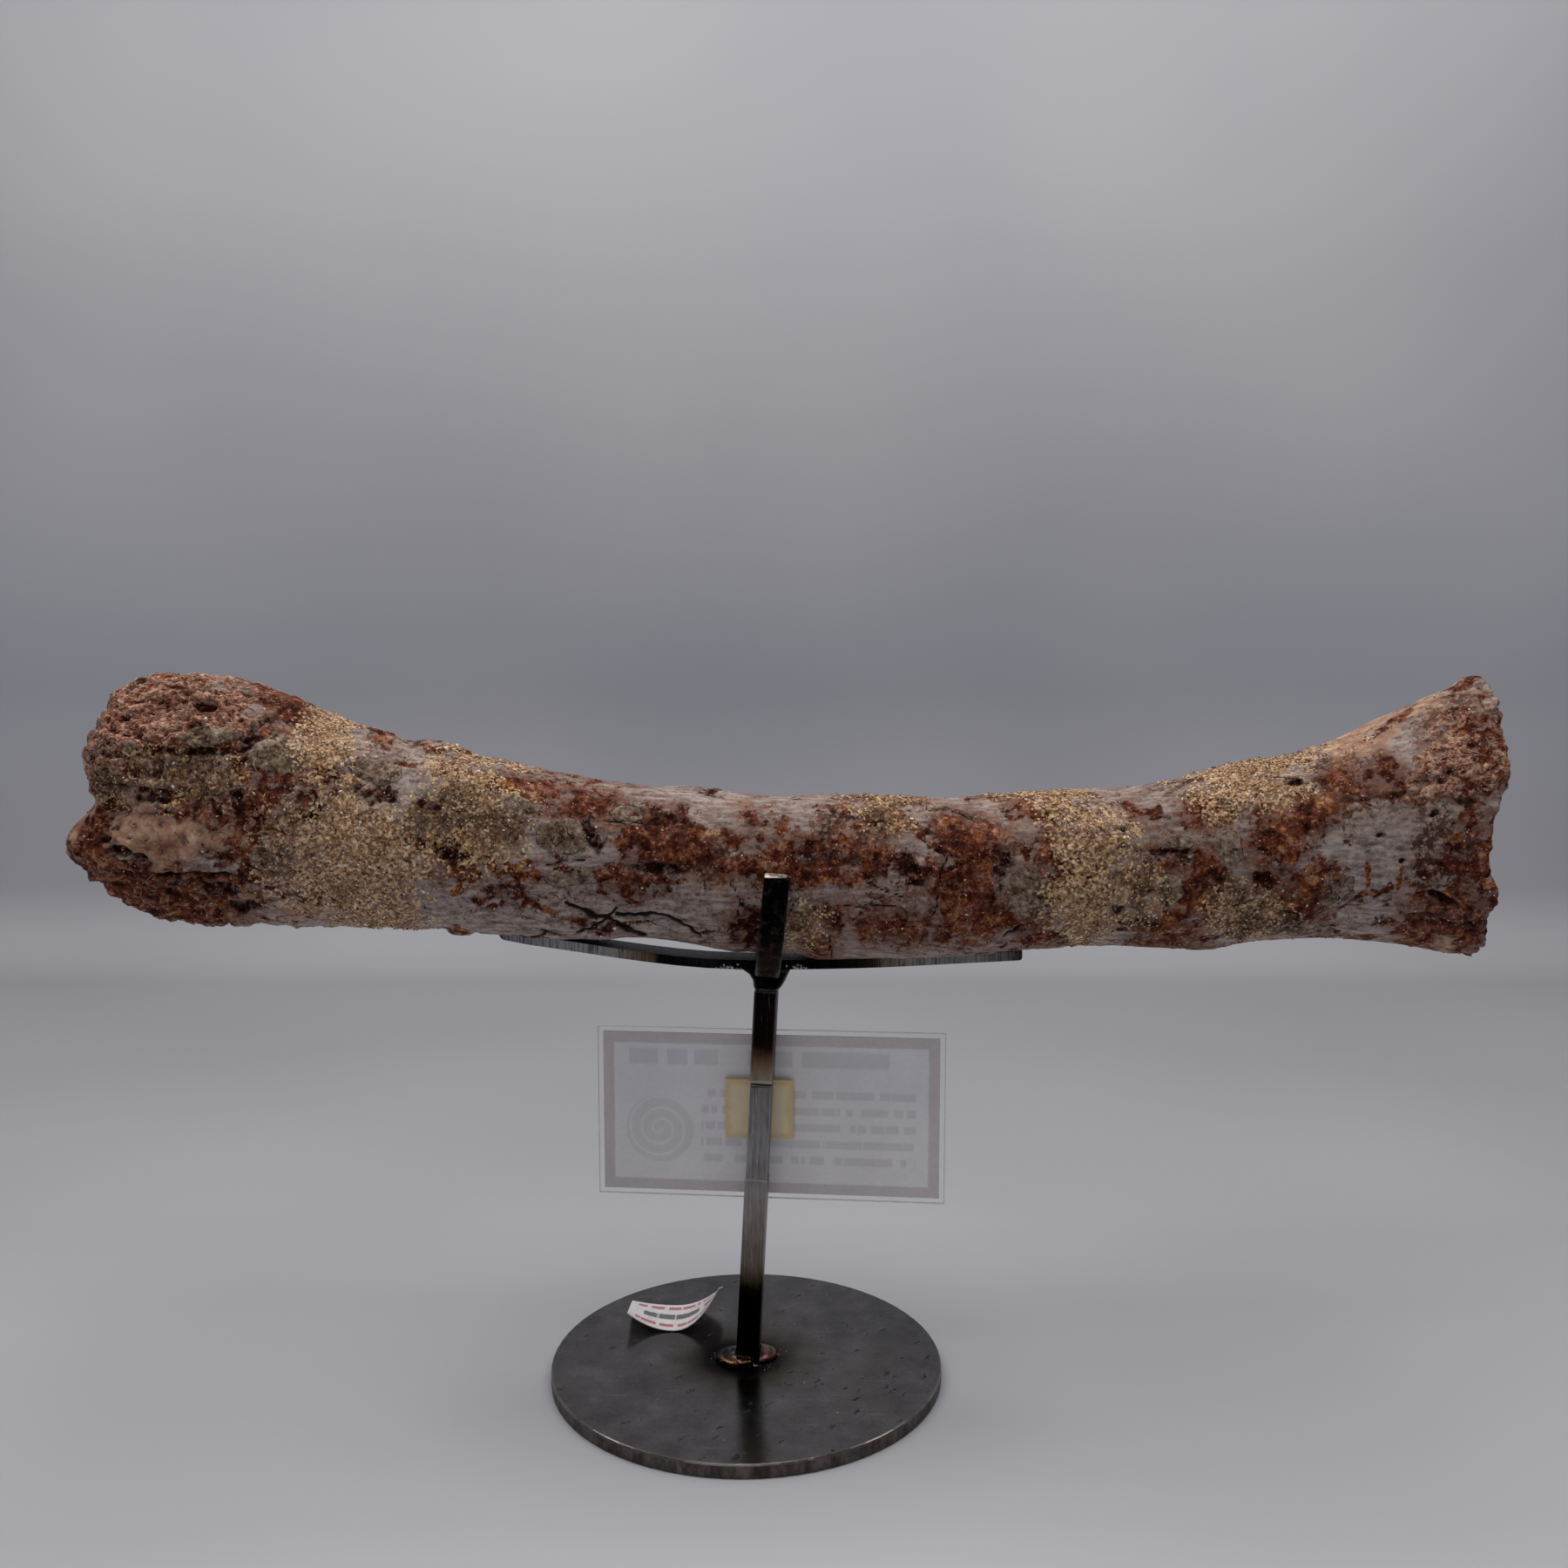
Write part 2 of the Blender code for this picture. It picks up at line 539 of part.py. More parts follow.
def build():
    """All the pieces of the bone and its stand."""
    for item in list(bpy.data.objects):
        bpy.data.objects.remove(item)
    parts = make_collection("fossil femur on stand")
    cutters = make_collection("cutters")
    plate = make_material("dark plate steel", (0.06, 0.06, 0.062), 0.4, 1.0)
    bar = make_material("square bar steel", (0.05, 0.045, 0.042), 0.5, 1.0)
    scale_steel = make_material("mill scale steel", (0.02, 0.02, 0.022), 0.55, 1.0)
    make_femur(parts)
    make_disc(plate, parts)
    axis = post_axis(parts)
    make_lower_post(bar, axis, parts)
    make_upper_post(bar, axis, parts)
    make_base_weld(bar, axis, parts, cutters)
    make_cradle_weld(scale_steel, axis, parts)
    make_arm("left_arm", LEFT_ARM_LINE, LEFT_TIP_ROUND, scale_steel, parts)
    make_arm("right_arm", RIGHT_ARM_LINE, RIGHT_TIP_ROUND, scale_steel, parts)
    make_prong("front_prong", -1, FRONT_PRONG_TOP, FRONT_PRONG_LEAN, scale_steel, parts)
    make_prong("rear_prong", 1, REAR_PRONG_TOP, REAR_PRONG_LEAN, scale_steel, parts)
    make_card(parts)
    make_sticker(parts)
    for cutter in cutters.objects:
        cutter.hide_render = True
        cutter.display_type = "WIRE"


build()
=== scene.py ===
# %% [markdown]
# # A fossil thigh bone on a welded stand
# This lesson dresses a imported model: a long fossil bone that lies in a small steel cradle.
# The real bone is a hard lilac-grey shell, stained by iron and patched with the sandstone
# that it was dug from. The stand is plain hot-rolled steel, with the marks of the torch on it.
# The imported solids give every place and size. Here they get their skins, crusts and grains.

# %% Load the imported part
import math
from functools import partial
import bpy
import numpy as np
from mathutils import Euler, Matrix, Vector, noise
from mathutils.bvhtree import BVHTree


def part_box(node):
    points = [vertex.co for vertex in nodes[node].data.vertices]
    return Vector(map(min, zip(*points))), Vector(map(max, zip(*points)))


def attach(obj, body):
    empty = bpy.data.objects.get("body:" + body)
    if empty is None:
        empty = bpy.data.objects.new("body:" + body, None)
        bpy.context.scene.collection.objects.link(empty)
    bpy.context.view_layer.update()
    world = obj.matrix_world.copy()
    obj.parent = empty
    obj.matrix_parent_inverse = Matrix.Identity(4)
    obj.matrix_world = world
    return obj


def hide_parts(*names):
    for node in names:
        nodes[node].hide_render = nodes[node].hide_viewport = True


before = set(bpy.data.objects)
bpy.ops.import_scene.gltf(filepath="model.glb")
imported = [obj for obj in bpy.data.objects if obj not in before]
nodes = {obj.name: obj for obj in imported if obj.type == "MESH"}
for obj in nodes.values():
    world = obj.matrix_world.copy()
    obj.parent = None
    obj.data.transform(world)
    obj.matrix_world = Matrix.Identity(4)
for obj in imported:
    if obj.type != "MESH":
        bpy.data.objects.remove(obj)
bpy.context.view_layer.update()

MM = 0.001


def in_scene(name, data):
    """A new object, linked to the scene."""
    piece = bpy.data.objects.new(name, data)
    bpy.context.collection.objects.link(piece)
    return piece


# %% [markdown]
# ## The camera
# The picture was taken level with the bone, a little under 40 cm away, with a phone's wide
# lens. At that distance perspective shows: the disc's front rim looks wider than its back rim.
# A lens's length and the camera's place are found together, by matching the disc's ellipse,
# the post and the ends of the bone, so both are kept as measured values.

# %% Place the camera
CAMERA_PLACE = Vector((9.75, -365.07, 188.70))
CAMERA_DIP = 5.335
LENS = 33.28

camera = in_scene("camera", bpy.data.cameras.new("camera"))
camera.location = CAMERA_PLACE * MM
camera.rotation_euler = (math.radians(90 - CAMERA_DIP), 0, 0)
camera.data.lens = LENS
camera.data.clip_start = 0.01
bpy.context.scene.camera = camera
print("The camera stands", round(-CAMERA_PLACE.y), "mm in front of the post")

# %% [markdown]
# ## Helpers for materials
# Colours are written as the sRGB hex values that a colour picker shows. Blender's sockets want
# linear light, so one function turns one into the other. One small function adds any node, with
# its settings and inputs given together, which keeps a material readable. A new material hands
# out that function with its own tree filled in, under the name of add.

# %% Colours and nodes
def linear(code):
    """The linear RGBA of an sRGB hex colour."""
    parts = [int(code[i:i + 2], 16) / 255 for i in (0, 2, 4)]
    return [p / 12.92 if p <= 0.04045 else ((p + 0.055) / 1.055) ** 2.4 for p in parts] + [1]


# Short names for the nodes that come back most, with their settings. A step whose limits are
# given from high to low falls, where any other rises.
KINDS = {
    "noise": ("TexNoise", {}),
    "cells": ("TexVoronoi", {}),
    "ramp": ("ValToRGB", {}),
    "step": ("MapRange", {"interpolation_type": "SMOOTHSTEP"}),
    "between": ("Mix", {"data_type": "FLOAT"}),
    "mix": ("Mix", {"data_type": "RGBA"}),
    "tint": ("Mix", {"data_type": "RGBA", "blend_type": "MULTIPLY"}),
}


def fill(node, *inputs):
    """Fills a node's open inputs in turn, or by name from a dict. Nodes and sockets are linked."""
    if inputs and isinstance(inputs[0], dict):
        by_name = inputs[0]
    else:
        by_name = dict(zip([i for i, socket in enumerate(node.inputs) if socket.enabled], inputs))
    for name, value in by_name.items():
        if isinstance(value, bpy.types.Node):
            value = next(socket for socket in value.outputs if socket.enabled)
        if isinstance(value, bpy.types.NodeSocket):
            node.id_data.links.new(value, node.inputs[name])
        else:
            node.inputs[name].default_value = linear(value) if isinstance(value, str) else value


def add_node(tree, kind, *inputs, **settings):
    """Adds a node. A kind in capitals is a sum. A ramp's stops follow its one input."""
    kind, usual = ("Math", {"operation": kind}) if kind.isupper() else KINDS.get(kind, (kind, {}))
    node = tree.nodes.new("ShaderNode" + kind)
    for name, value in {**usual, **settings}.items():
        setattr(node, name, value)
    if kind == "ValToRGB":
        inputs, stops = inputs[:1], inputs[1:]
        elements = node.color_ramp.elements
        while len(elements) < len(stops):
            elements.new(0.5)
        for element, (place, code) in zip(elements, stops):
            element.position = place
            element.color = linear(code)
    fill(node, *inputs)
    return node


def blank_material(name):
    """A new material, what adds its nodes, its Principled shader and its places in metres."""
    material = bpy.data.materials.new(name)
    material.use_nodes = True
    add = partial(add_node, material.node_tree)
    shader = material.node_tree.nodes["Principled BSDF"]
    return material, add, shader, add("TexCoord").outputs["Object"]


print("One function adds every node, and", len(KINDS), "kinds have short names")

# %% [markdown]
# ## Patterns of several nodes
# Some small patterns come back on bone, steel and paper alike: noise of a real size, the
# distance from a spot, the inset from a rim. Each is a few nodes, so each is a function.

# %% Patterns that many finishes share
def axes(add, place):
    """The x, y and z of a place, in mm."""
    return [add("MULTIPLY", part, 1 / MM) for part in add("SeparateXYZ", place).outputs]


def facing(add, axis):
    """How far a surface faces along an axis, from -1 to 1."""
    return add("SeparateXYZ", add("NewGeometry").outputs["Normal"]).outputs[axis]


def speckle(add, place, size, detail=3.0, stretch=None, coarseness=0.5, contrast=1.0):
    """Soft noise from 0 to 1 whose lumps are about size mm across."""
    if stretch:
        place = add("Mapping", {"Vector": place, "Scale": stretch})
    soft = add("noise", place, 1 / (size * MM), detail, coarseness)
    return soft if contrast == 1 else add("MULTIPLY_ADD", soft, contrast, 0.5 - 0.5 * contrast)


def grit(add, place, size):
    """Cells size mm across: two random numbers for each, and the distance from its middle."""
    cells = add("cells", place, 1 / (size * MM))
    first, second, _ = add("SeparateColor", cells.outputs["Color"]).outputs
    return first, second, cells.outputs["Distance"]


def swing(add, value, reach):
    """A value from 0 to 1, turned into one that swings over reach, half to each side of 0."""
    return add("MULTIPLY", add("SUBTRACT", value, 0.5), reach)


def away_from(add, x, y, centre, squash=1.0):
    """The distance in mm from a centre. A squash over 1 makes its rings flatter in y."""
    squares = [add("POWER", add("SUBTRACT", at, middle), 2.0) for at, middle in zip((x, y), centre)]
    return add("SQRT", add("ADD", squares[0], add("MULTIPLY", squares[1], squash)))


def inset_of(add, x, z, middle, half, lengthening=1.0):
    """How many mm a place lies inside the rim of an upright rectangle."""
    across = add("MULTIPLY", add("ABSOLUTE", add("SUBTRACT", x, middle[0])), lengthening)
    upward = add("ABSOLUTE", add("SUBTRACT", z, middle[1]))
    return add("MINIMUM", add("SUBTRACT", half[0], across), add("SUBTRACT", half[1], upward))


def turn_about(add, x, y, centre):
    """The angle round a centre, in radians."""
    return add("ARCTAN2", add("SUBTRACT", y, centre[1]), add("SUBTRACT", x, centre[0]))


def within(add, value, low, high):
    """1 between low and high, else 0."""
    return add("MULTIPLY", add("GREATER_THAN", value, low), add("LESS_THAN", value, high))


def band(add, value, start, full, fading, end):
    """1 from full to fading, 0 before start and after end, and smooth between."""
    return add("MULTIPLY", add("step", value, start, full), add("step", value, end, fading))


def corner_angle(add, radius):
    """1 on a flat face, and less the nearer a corner is: by how far rounding would turn it."""
    rounded = add("Bevel", {"Radius": radius * MM}, samples=4)
    flat = add("NewGeometry").outputs["Normal"]
    return add("VectorMath", rounded, flat, operation="DOT_PRODUCT")


def bars(add, along, line, pitch, word):
    """Rows of plain bars, pitch mm apart and broken every word mm or so: 1 on a bar, else 0."""
    row = add("DIVIDE", line, pitch)
    off_row = add("ABSOLUTE", add("SUBTRACT", add("FRACT", row), 0.5))
    spot = add("CombineXYZ", add("DIVIDE", along, word), add("MULTIPLY", add("FLOOR", row), 7.3))
    word_here = add("noise", spot, 1.0, 1.0)
    return add("MULTIPLY", add("step", off_row, 0.30, 0.18), add("step", word_here, 0.40, 0.44))


print("Noise, cells, distances and bars are ready")

# %% [markdown]
# ## The light box
# The bone stands in a grey paper light box: a sheet that curves up from the floor to the
# back, lit from above through a diffuser. Its walls give the steel something to mirror. The
# light comes from high up and a little behind, so the top edges are bright and the front dim.

# %% Build the sweep of paper
SWEEP_FRONT = -900
SWEEP_BACK = 620
SWEEP_RADIUS = 160
SWEEP_HEIGHT = 900
SWEEP_HALF_WIDTH = 900
SWEEP_STEPS = 24

profile = [(SWEEP_FRONT, 0)]
for i in range(SWEEP_STEPS + 1):
    turn = math.radians(90 * i / SWEEP_STEPS)
    profile.append((SWEEP_BACK - SWEEP_RADIUS + SWEEP_RADIUS * math.sin(turn),
                    SWEEP_RADIUS * (1 - math.cos(turn))))
profile.append((SWEEP_BACK, SWEEP_HEIGHT))
points = [(x * MM, y * MM, z * MM) for y, z in profile for x in (-SWEEP_HALF_WIDTH, SWEEP_HALF_WIDTH)]
faces = [(2 * i, 2 * i + 1, 2 * i + 3, 2 * i + 2) for i in range(len(profile) - 1)]
sweep_mesh = bpy.data.meshes.new("paper_sweep")
sweep_mesh.from_pydata(points, [], faces)
sweep_mesh.shade_smooth()
sweep = in_scene("paper_sweep", sweep_mesh)

PAPER = "dee1e9"
PAPER_TOP = 600
PAPER_FRONT = -150
PAPER_BACK = 600
SIDES_FROM_TO = (150, 560)
SIDES_PAINTED_LIGHTER = 1.2
RING_PAINTED_LIGHTER = 1.07

paper, add, shader, place = blank_material("background_paper")
x, y, z = axes(add, place)
cloud = add("ramp", speckle(add, place, 220, 1.0), (0.3, "f4f4f6"), (0.7, "ffffff"))
# Painted shade and light: the paper is painted darker towards the back of the floor and low on the wall,
# and lighter at the front and higher up the wall.
up = add("ramp", add("DIVIDE", z, PAPER_TOP), (0.0, "f0f0f0"), (0.06, "c8c8ca"), (0.31, "ccccd0"),
         (0.54, "dededf"), (0.80, "f6f6f6"), (1.0, "ffffff"))
back = add("DIVIDE", add("SUBTRACT", y, PAPER_FRONT), PAPER_BACK - PAPER_FRONT)
along = add("ramp", back, (0.0, "f0f0f0"), (0.114, "eeeeee"), (0.228, "e2e2e2"), (0.319, "d0d0d0"),
            (0.608, "c8c8c8"), (0.79, "c8c8c8"), (0.90, "e6e6e6"))
colour = add("tint", 1.0, add("tint", 1.0, up, along), cloud)
# Painted light: the wall is painted lighter towards both sides, from just above the floor to half its
# height.
painted_side_light = add("MULTIPLY", add("step", add("ABSOLUTE", x), *SIDES_FROM_TO), band(add, z, 30, 160, 300, 460))
colour = add("tint", 1.0, colour, add("between", painted_side_light, 1.0, SIDES_PAINTED_LIGHTER))
# Painted light: a ring of floor round the plate is painted lighter, to lift the shadow that the bone and
# plate cast there.
painted_ring_light = band(add, away_from(add, x, y, (0, 0)), 55, 90, 100, 170)
colour = add("tint", 1.0, colour, add("between", painted_ring_light, 1.0, RING_PAINTED_LIGHTER))
fill(shader, {"Base Color": add("tint", 1.0, PAPER, colour), "Roughness": 0.9})
sweep_mesh.materials.append(paper)
print("The paper sweep has", len(faces), "faces")

# %% Set the lights
def softbox(name, centre, target, width, depth, watts, colour="ffffff"):
    """A rectangular lamp, its sizes in mm, that faces its target."""
    lamp = bpy.data.lights.new(name, "AREA")
    lamp.shape = "RECTANGLE"
    lamp.size = width * MM
    lamp.size_y = depth * MM
    lamp.energy = watts
    lamp.color = linear(colour)[:3]
    light = in_scene(name, lamp)
    light.location = Vector(centre) * MM
    light.rotation_euler = (Vector(target) - Vector(centre)).to_track_quat("-Z", "Y").to_euler()


softbox("ceiling", (0, 70, 800), (0, 70, 0), 1300, 820, 7.6, "fffaf4")
softbox("front_fill", (-120, -800, 420), (0, 0, 120), 700, 500, 0.55, "f6f3f4")

world = bpy.data.worlds.new("light_box")
world.use_nodes = True
fill(world.node_tree.nodes["Background"], {"Color": "b9bcc6", "Strength": 0.22})
bpy.context.scene.world = world
bpy.context.scene.view_settings.view_transform = "Standard"
print("Two lamps and the walls light the bone")

# %% [markdown]
# ## The bone's skin
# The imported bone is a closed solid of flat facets, some millimetres across. The real surface
# has ribs, crusts and cracks of half a millimetre. A voxel remesh wraps the same form in an
# even net of small squares, and a few rounds of smoothing take the facets' edges off it.
# Every point of that net can then be moved on its own, and can carry its own mix of finishes.

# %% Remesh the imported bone
SKIN_CELL = 0.56
SMOOTHING_ROUNDS = 14


def points_of(mesh):
    """The places of a mesh's points, in mm."""
    flat = np.empty(len(mesh.vertices) * 3)
    mesh.vertices.foreach_get("co", flat)
    return flat.reshape(-1, 3) / MM


def normals_of(mesh):
    """The directions of a mesh's points."""
    flat = np.empty(len(mesh.vertices) * 3)
    mesh.vertex_normals.foreach_get("vector", flat)
    return flat.reshape(-1, 3)


def even_net(mesh, cell, rounds):
    """A mesh as an even net of squares, cell mm wide, smoothed for so many rounds."""
    piece = in_scene("to_be_remeshed", mesh.copy())
    remesh = piece.modifiers.new("even_net", "REMESH")
    remesh.mode = "VOXEL"
    remesh.voxel_size = cell * MM
    piece.modifiers.new("soften", "SMOOTH").iterations = rounds
    net = bpy.data.meshes.new_from_object(piece.evaluated_get(bpy.context.evaluated_depsgraph_get()))
    bpy.data.objects.remove(piece)
    return net


net = even_net(nodes["femur"].data, SKIN_CELL, SMOOTHING_ROUNDS)
skin = points_of(net)
out = normals_of(net)
corners = np.empty(len(net.loops), dtype=np.int64)
net.loops.foreach_get("vertex_index", corners)
quads = corners.reshape(-1, 4)
print("The skin has", len(skin), "points and", len(quads), "squares")

# %% [markdown]
# ## Where each finish lies
# The crusts can't be left to chance: a long sandy patch here and a dark stain there are what
# make this bone itself. Each patch is an ellipse, given by where it is seen from the front,
# in mm along the bone and above the floor. Patches are laid one over the other, as paint is,
# and noise frays their edges. The unseen back wears the same list, shifted along the bone.

# %% List the patches
# Each row: finish, x, z, half length, half height, tilt in degrees, how much it covers.
KNEE_PATCHES = [
    ("rust", -147, 151, 24, 32, 0, 0.9),
    ("rust", -116, 144, 15, 23, 0, 0.7),
    ("sponge", -143, 174, 22, 8.5, 0, 1),
    ("sponge", -159, 166, 8, 9, 0, 1),
    ("sponge", -129, 176, 11, 5.5, -12, 1),
    ("rust", -116, 174, 8, 2.7, -32, 1),
    ("slab", -135, 167, 6.5, 2.6, 4, 1),
    ("bone", -123, 172, 2.2, 2.2, 0, 0.9),
    # A painted shadow: the dark strip under the stone slab above it.
    ("dark", -138, 162, 11, 1.1, 3, 0.9),
    ("dark", -125, 165, 2.8, 2, 25, 0.6),
    ("olive", -151, 156, 14, 5.8, 0, 0.95),
    ("olive", -136, 158, 7, 3.6, 0, 0.85),
    ("rust", -159, 163, 7.5, 1.8, 0, 0.5),
    ("dark", -152, 151, 4, 1.5, -5, 1),
    ("pale", -151, 148, 3.6, 0.6, 4, 0.9),
    ("sponge", -139, 147, 17, 12, 0, 0.4),
    ("pale", -151, 140.5, 15, 8, -5, 0.85),
    ("pale", -139, 139.5, 10, 5.2, -3, 0.6),
    ("rust", -136, 136.5, 4.6, 1.2, 0, 0.5),
    ("bone", -140, 133, 10.5, 1.7, 2, 0.95),
    ("rust", -168, 141, 5.2, 7.6, 14, 0.95),
    ("ochre", -163, 131, 3.2, 1.5, -20, 0.8),
    ("dark", -160, 137, 2.9, 1.3, -12, 1),
    ("pale", -156, 138, 2.7, 0.6, -25, 0.9),
    ("rust", -146, 124, 17.5, 5, -10, 0.95),
    ("sponge", -147, 122, 14.5, 2.5, -12, 0.3),
    ("dark", -134, 127, 4.6, 1.9, 0, 0.95),
    ("dark", -128, 122, 2.9, 1.7, 0, 0.95),
    ("dark", -144, 128, 2.8, 1.1, -5, 0.8),
    ("ochre", -129, 128, 2.7, 1.3, 0, 0.6),
    ("pale", -123, 126, 2.1, 1.5, 0, 0.8),
    ("pale", -114, 122, 7, 2.5, -4, 0.85),
    ("dark", -129, 152, 1.7, 1.3, 0, 0.6),
    ("dark", -116, 154, 3.4, 1.9, 0, 0.5),
    ("slab", -117, 162, 8, 5.2, -8, 0.95),
    ("bone", -113, 167, 5, 1.9, -20, 0.9),
    ("olive", -117, 137, 7, 11, 0, 0.75),
    ("sand", -106, 164, 4.5, 7, -18, 1),
    ("sand", -99, 136, 15, 16, 0, 1),
    ("sponge", -117, 135, 9, 13, 0, 0.35),
    ("sand", -121, 130, 9, 10, 0, 0.3),
    ("slab", -93, 158, 7, 4, 0, 0.95),
    ("slab", -102, 160, 2.5, 3, 0, 0.6),
    ("dark", -93, 151, 5.0, 1.9, 0, 0.8),
    ("rust", -93, 166, 5.5, 1.2, -14, 1),
    ("rust", -77, 163, 5.7, 1.6, -8, 1),
    ("bone", -85, 161, 8.8, 2.7, -22, 0.95),
    ("rust", -86, 159, 5.2, 1.3, -35, 0.8),
    ("sand", -70, 158, 7, 3.8, -10, 1),
    ("sand", -92, 121, 12, 3.2, 0, 0.9),
    ("olive", -70, 144, 14.5, 9.2, 0, 0.9),
    ("rust", -67, 141, 10, 5, -10, 0.35),
    ("dark", -77, 149, 4, 2.4, 0, 0.5),
    ("slab", -58, 150, 4, 2, 0, 0.7),
    ("rust", -74, 136, 6.3, 4.6, -20, 0.85),
    ("dark", -75, 136, 4.2, 2.5, -20, 0.6),
]
SHAFT_PATCHES = [
    ("bone", -42, 156, 24.5, 3, -7, 0.95),
    ("rust", -59, 154, 6, 1.7, -8, 0.8),
    ("rust", -45, 150, 9.2, 3, -14, 0.85),
    ("ochre", -49, 150.5, 5, 1.8, -14, 0.4),
    ("rust", -35, 149, 4.2, 2.7, 0, 0.95),
    ("slab", -55, 148, 4.8, 1.9, 0, 0.95),
    ("slab", -47, 141, 6.7, 5.7, 0, 0.85),
    ("slab", -45, 131, 8, 2.7, 3, 0.9),
    ("slab", -30, 147, 5.2, 2.7, 10, 0.95),
    ("slab", -31, 141, 3.1, 3, 0, 0.85),
    ("dark", -39, 140, 1.9, 4.8, 20, 0.85),
    ("rust", -21, 142, 9.7, 6.3, -8, 0.95),
    ("rust", -27, 130, 10, 3.8, 0, 0.85),
    ("dark", -23, 133, 8.4, 1.7, -4, 0.85),
    ("rust", -59, 132, 7, 3.8, 0, 0.55),
    ("bone", -56, 121, 25, 4.4, -2, 0.95),
    ("ochre", -74, 127, 2.5, 1.5, 0, 0.9),
    ("rust", -55, 123, 2.1, 0.8, 35, 0.7),
    ("rust", -73, 118, 2.9, 1.1, 0, 1),
    ("rust", -47, 121.5, 10, 0.7, -18, 0.7),
    ("dark", -30, 118.5, 11, 0.6, 8, 0.8),
    ("dark", -19, 121.5, 9, 0.6, -5, 0.7),
    ("rust", -62, 124, 7, 0.9, 10, 0.6),
    ("dark", -53, 117.5, 8, 0.5, -4, 0.8),
    ("rust", -25, 124, 9, 0.9, -6, 0.6),
    ("dark", -10, 117, 6, 0.8, 5, 0.8),
    ("bone", -12, 150, 18, 4.6, -3, 1),
    ("dark", -12, 153, 7, 0.5, -4, 0.8),
    ("dark", -19, 145, 8, 2.5, -14, 0.8),
    ("rust", -8, 142, 5.7, 1.9, -4, 0.8),
    ("rust", -11, 135, 15, 3.1, 0, 0.85),
    ("bone", -1, 137, 5.2, 1.3, 0, 0.8),
    ("dark", -19, 133, 7, 1.5, 0, 0.7),
    ("bone", -14, 123, 12, 5.5, -2, 0.85),
    ("dark", 0, 118, 3.6, 5.2, 0, 0.9),
    ("bone", 13, 147, 19, 7.0, 0, 0.95),
    ("rust", 1, 147, 1.7, 1.9, 0, 0.75),
    ("rust", 7, 145, 2.3, 2.5, 0, 0.6),
    ("ochre", 12, 144.5, 9, 5, 0, 0.3),
    ("rust", 14, 144, 3.6, 4.2, 0, 0.35),
    ("rust", 22, 148, 5, 2.3, 0, 0.45),
    ("rust", 28, 144, 2.1, 3.8, 0, 0.5),
    ("rust", 38, 147, 7.6, 3, 0, 1),
    ("olive", 37, 148, 6.5, 2.2, 0, 0.75),
    ("bone", 51, 147, 7.6, 4.2, -10, 0.95),
    ("rust", 21, 136, 17.5, 3.6, 0, 0.9),
    ("dark", 23, 136, 9.2, 1.5, 0, 0.5),
    ("rust", 23, 130, 15.5, 3, 0, 0.6),
    ("bone", 15, 126, 9.7, 2.5, 0, 0.6),
    ("dark", 43, 131, 2.5, 4, 20, 0.85),
    ("bone", 36, 129, 3.1, 2.3, 0, 0.8),
    ("pale", 45, 134, 1.9, 0.6, -20, 0.8),
    ("bone", 29, 116, 18.5, 4.6, 3, 0.9),
    ("rust", 21, 120, 4, 2.5, 0, 0.85),
    ("rust", 38, 118, 10, 1.7, -6, 0.85),
    ("rust", 19, 113, 2.1, 1.9, 0, 0.8),
    ("olive", 14, 119, 3, 3, 0, 0.8),
    ("bone", 62, 146, 10, 3.8, 0, 0.95),
    ("rust", 59, 141, 8.8, 4.2, -15, 0.95),
    ("dark", 65, 136, 3.8, 4.2, 0, 0.8),
    ("rust", 57, 126, 8.8, 10.5, 0, 0.9),
    ("ochre", 56, 125, 6.7, 8.8, 0, 0.35),
    ("dark", 65, 131, 1.9, 5.5, 0, 0.7),
    ("ochre", 54, 117, 2.1, 1.3, 0, 0.9),
    ("slab", 72, 127, 6.5, 6.5, 0, 0.95),
    ("dark", 76, 121, 2.5, 1.1, 30, 0.6),
    ("rust", 74, 115, 7, 2.1, 8, 0.8),
    ("rust", 74, 149, 6, 3, -18, 0.9),
    ("rust", 77, 138, 5, 4.2, 0, 0.75),
    ("sand", 82, 149, 5.2, 3.8, -12, 1),
    ("sand", 88, 140, 8, 7.6, -28, 1),
    ("sand", 87, 124, 8.4, 7.1, 0, 1),
    ("dark", 95, 122, 1.3, 0.9, 0, 0.9),
    ("bone", 102, 149, 14, 4.2, 2, 0.95),
    ("rust", 99, 147, 3.6, 2.1, -10, 0.7),
    ("rust", 105, 144, 2.7, 2.1, 0, 0.6),
    ("rust", 117, 149, 4.6, 3, 30, 0.9),
    ("rust", 110, 135, 9.7, 3.1, 0, 0.95),
    ("slab", 110, 140, 4.2, 1.9, 0, 0.95),
    # A painted shadow: the dark line under the stone slab above it.
    ("dark", 109, 138, 5, 0.6, 0, 0.7),
    ("dark", 108, 136, 7.6, 1.9, 0, 0.5),
    ("rust", 115, 126, 7.1, 6.3, 0, 0.9),
    ("slab", 108, 127, 3.4, 4.6, 0, 0.85),
    ("dark", 118, 128, 3, 2.5, 0, 0.5),
    ("olive", 99, 127, 3.8, 6.7, 0, 0.85),
    ("rust", 108, 116, 8.8, 2.5, -6, 1),
    ("bone", 99, 116, 5.5, 1.1, 4, 0.8),
]
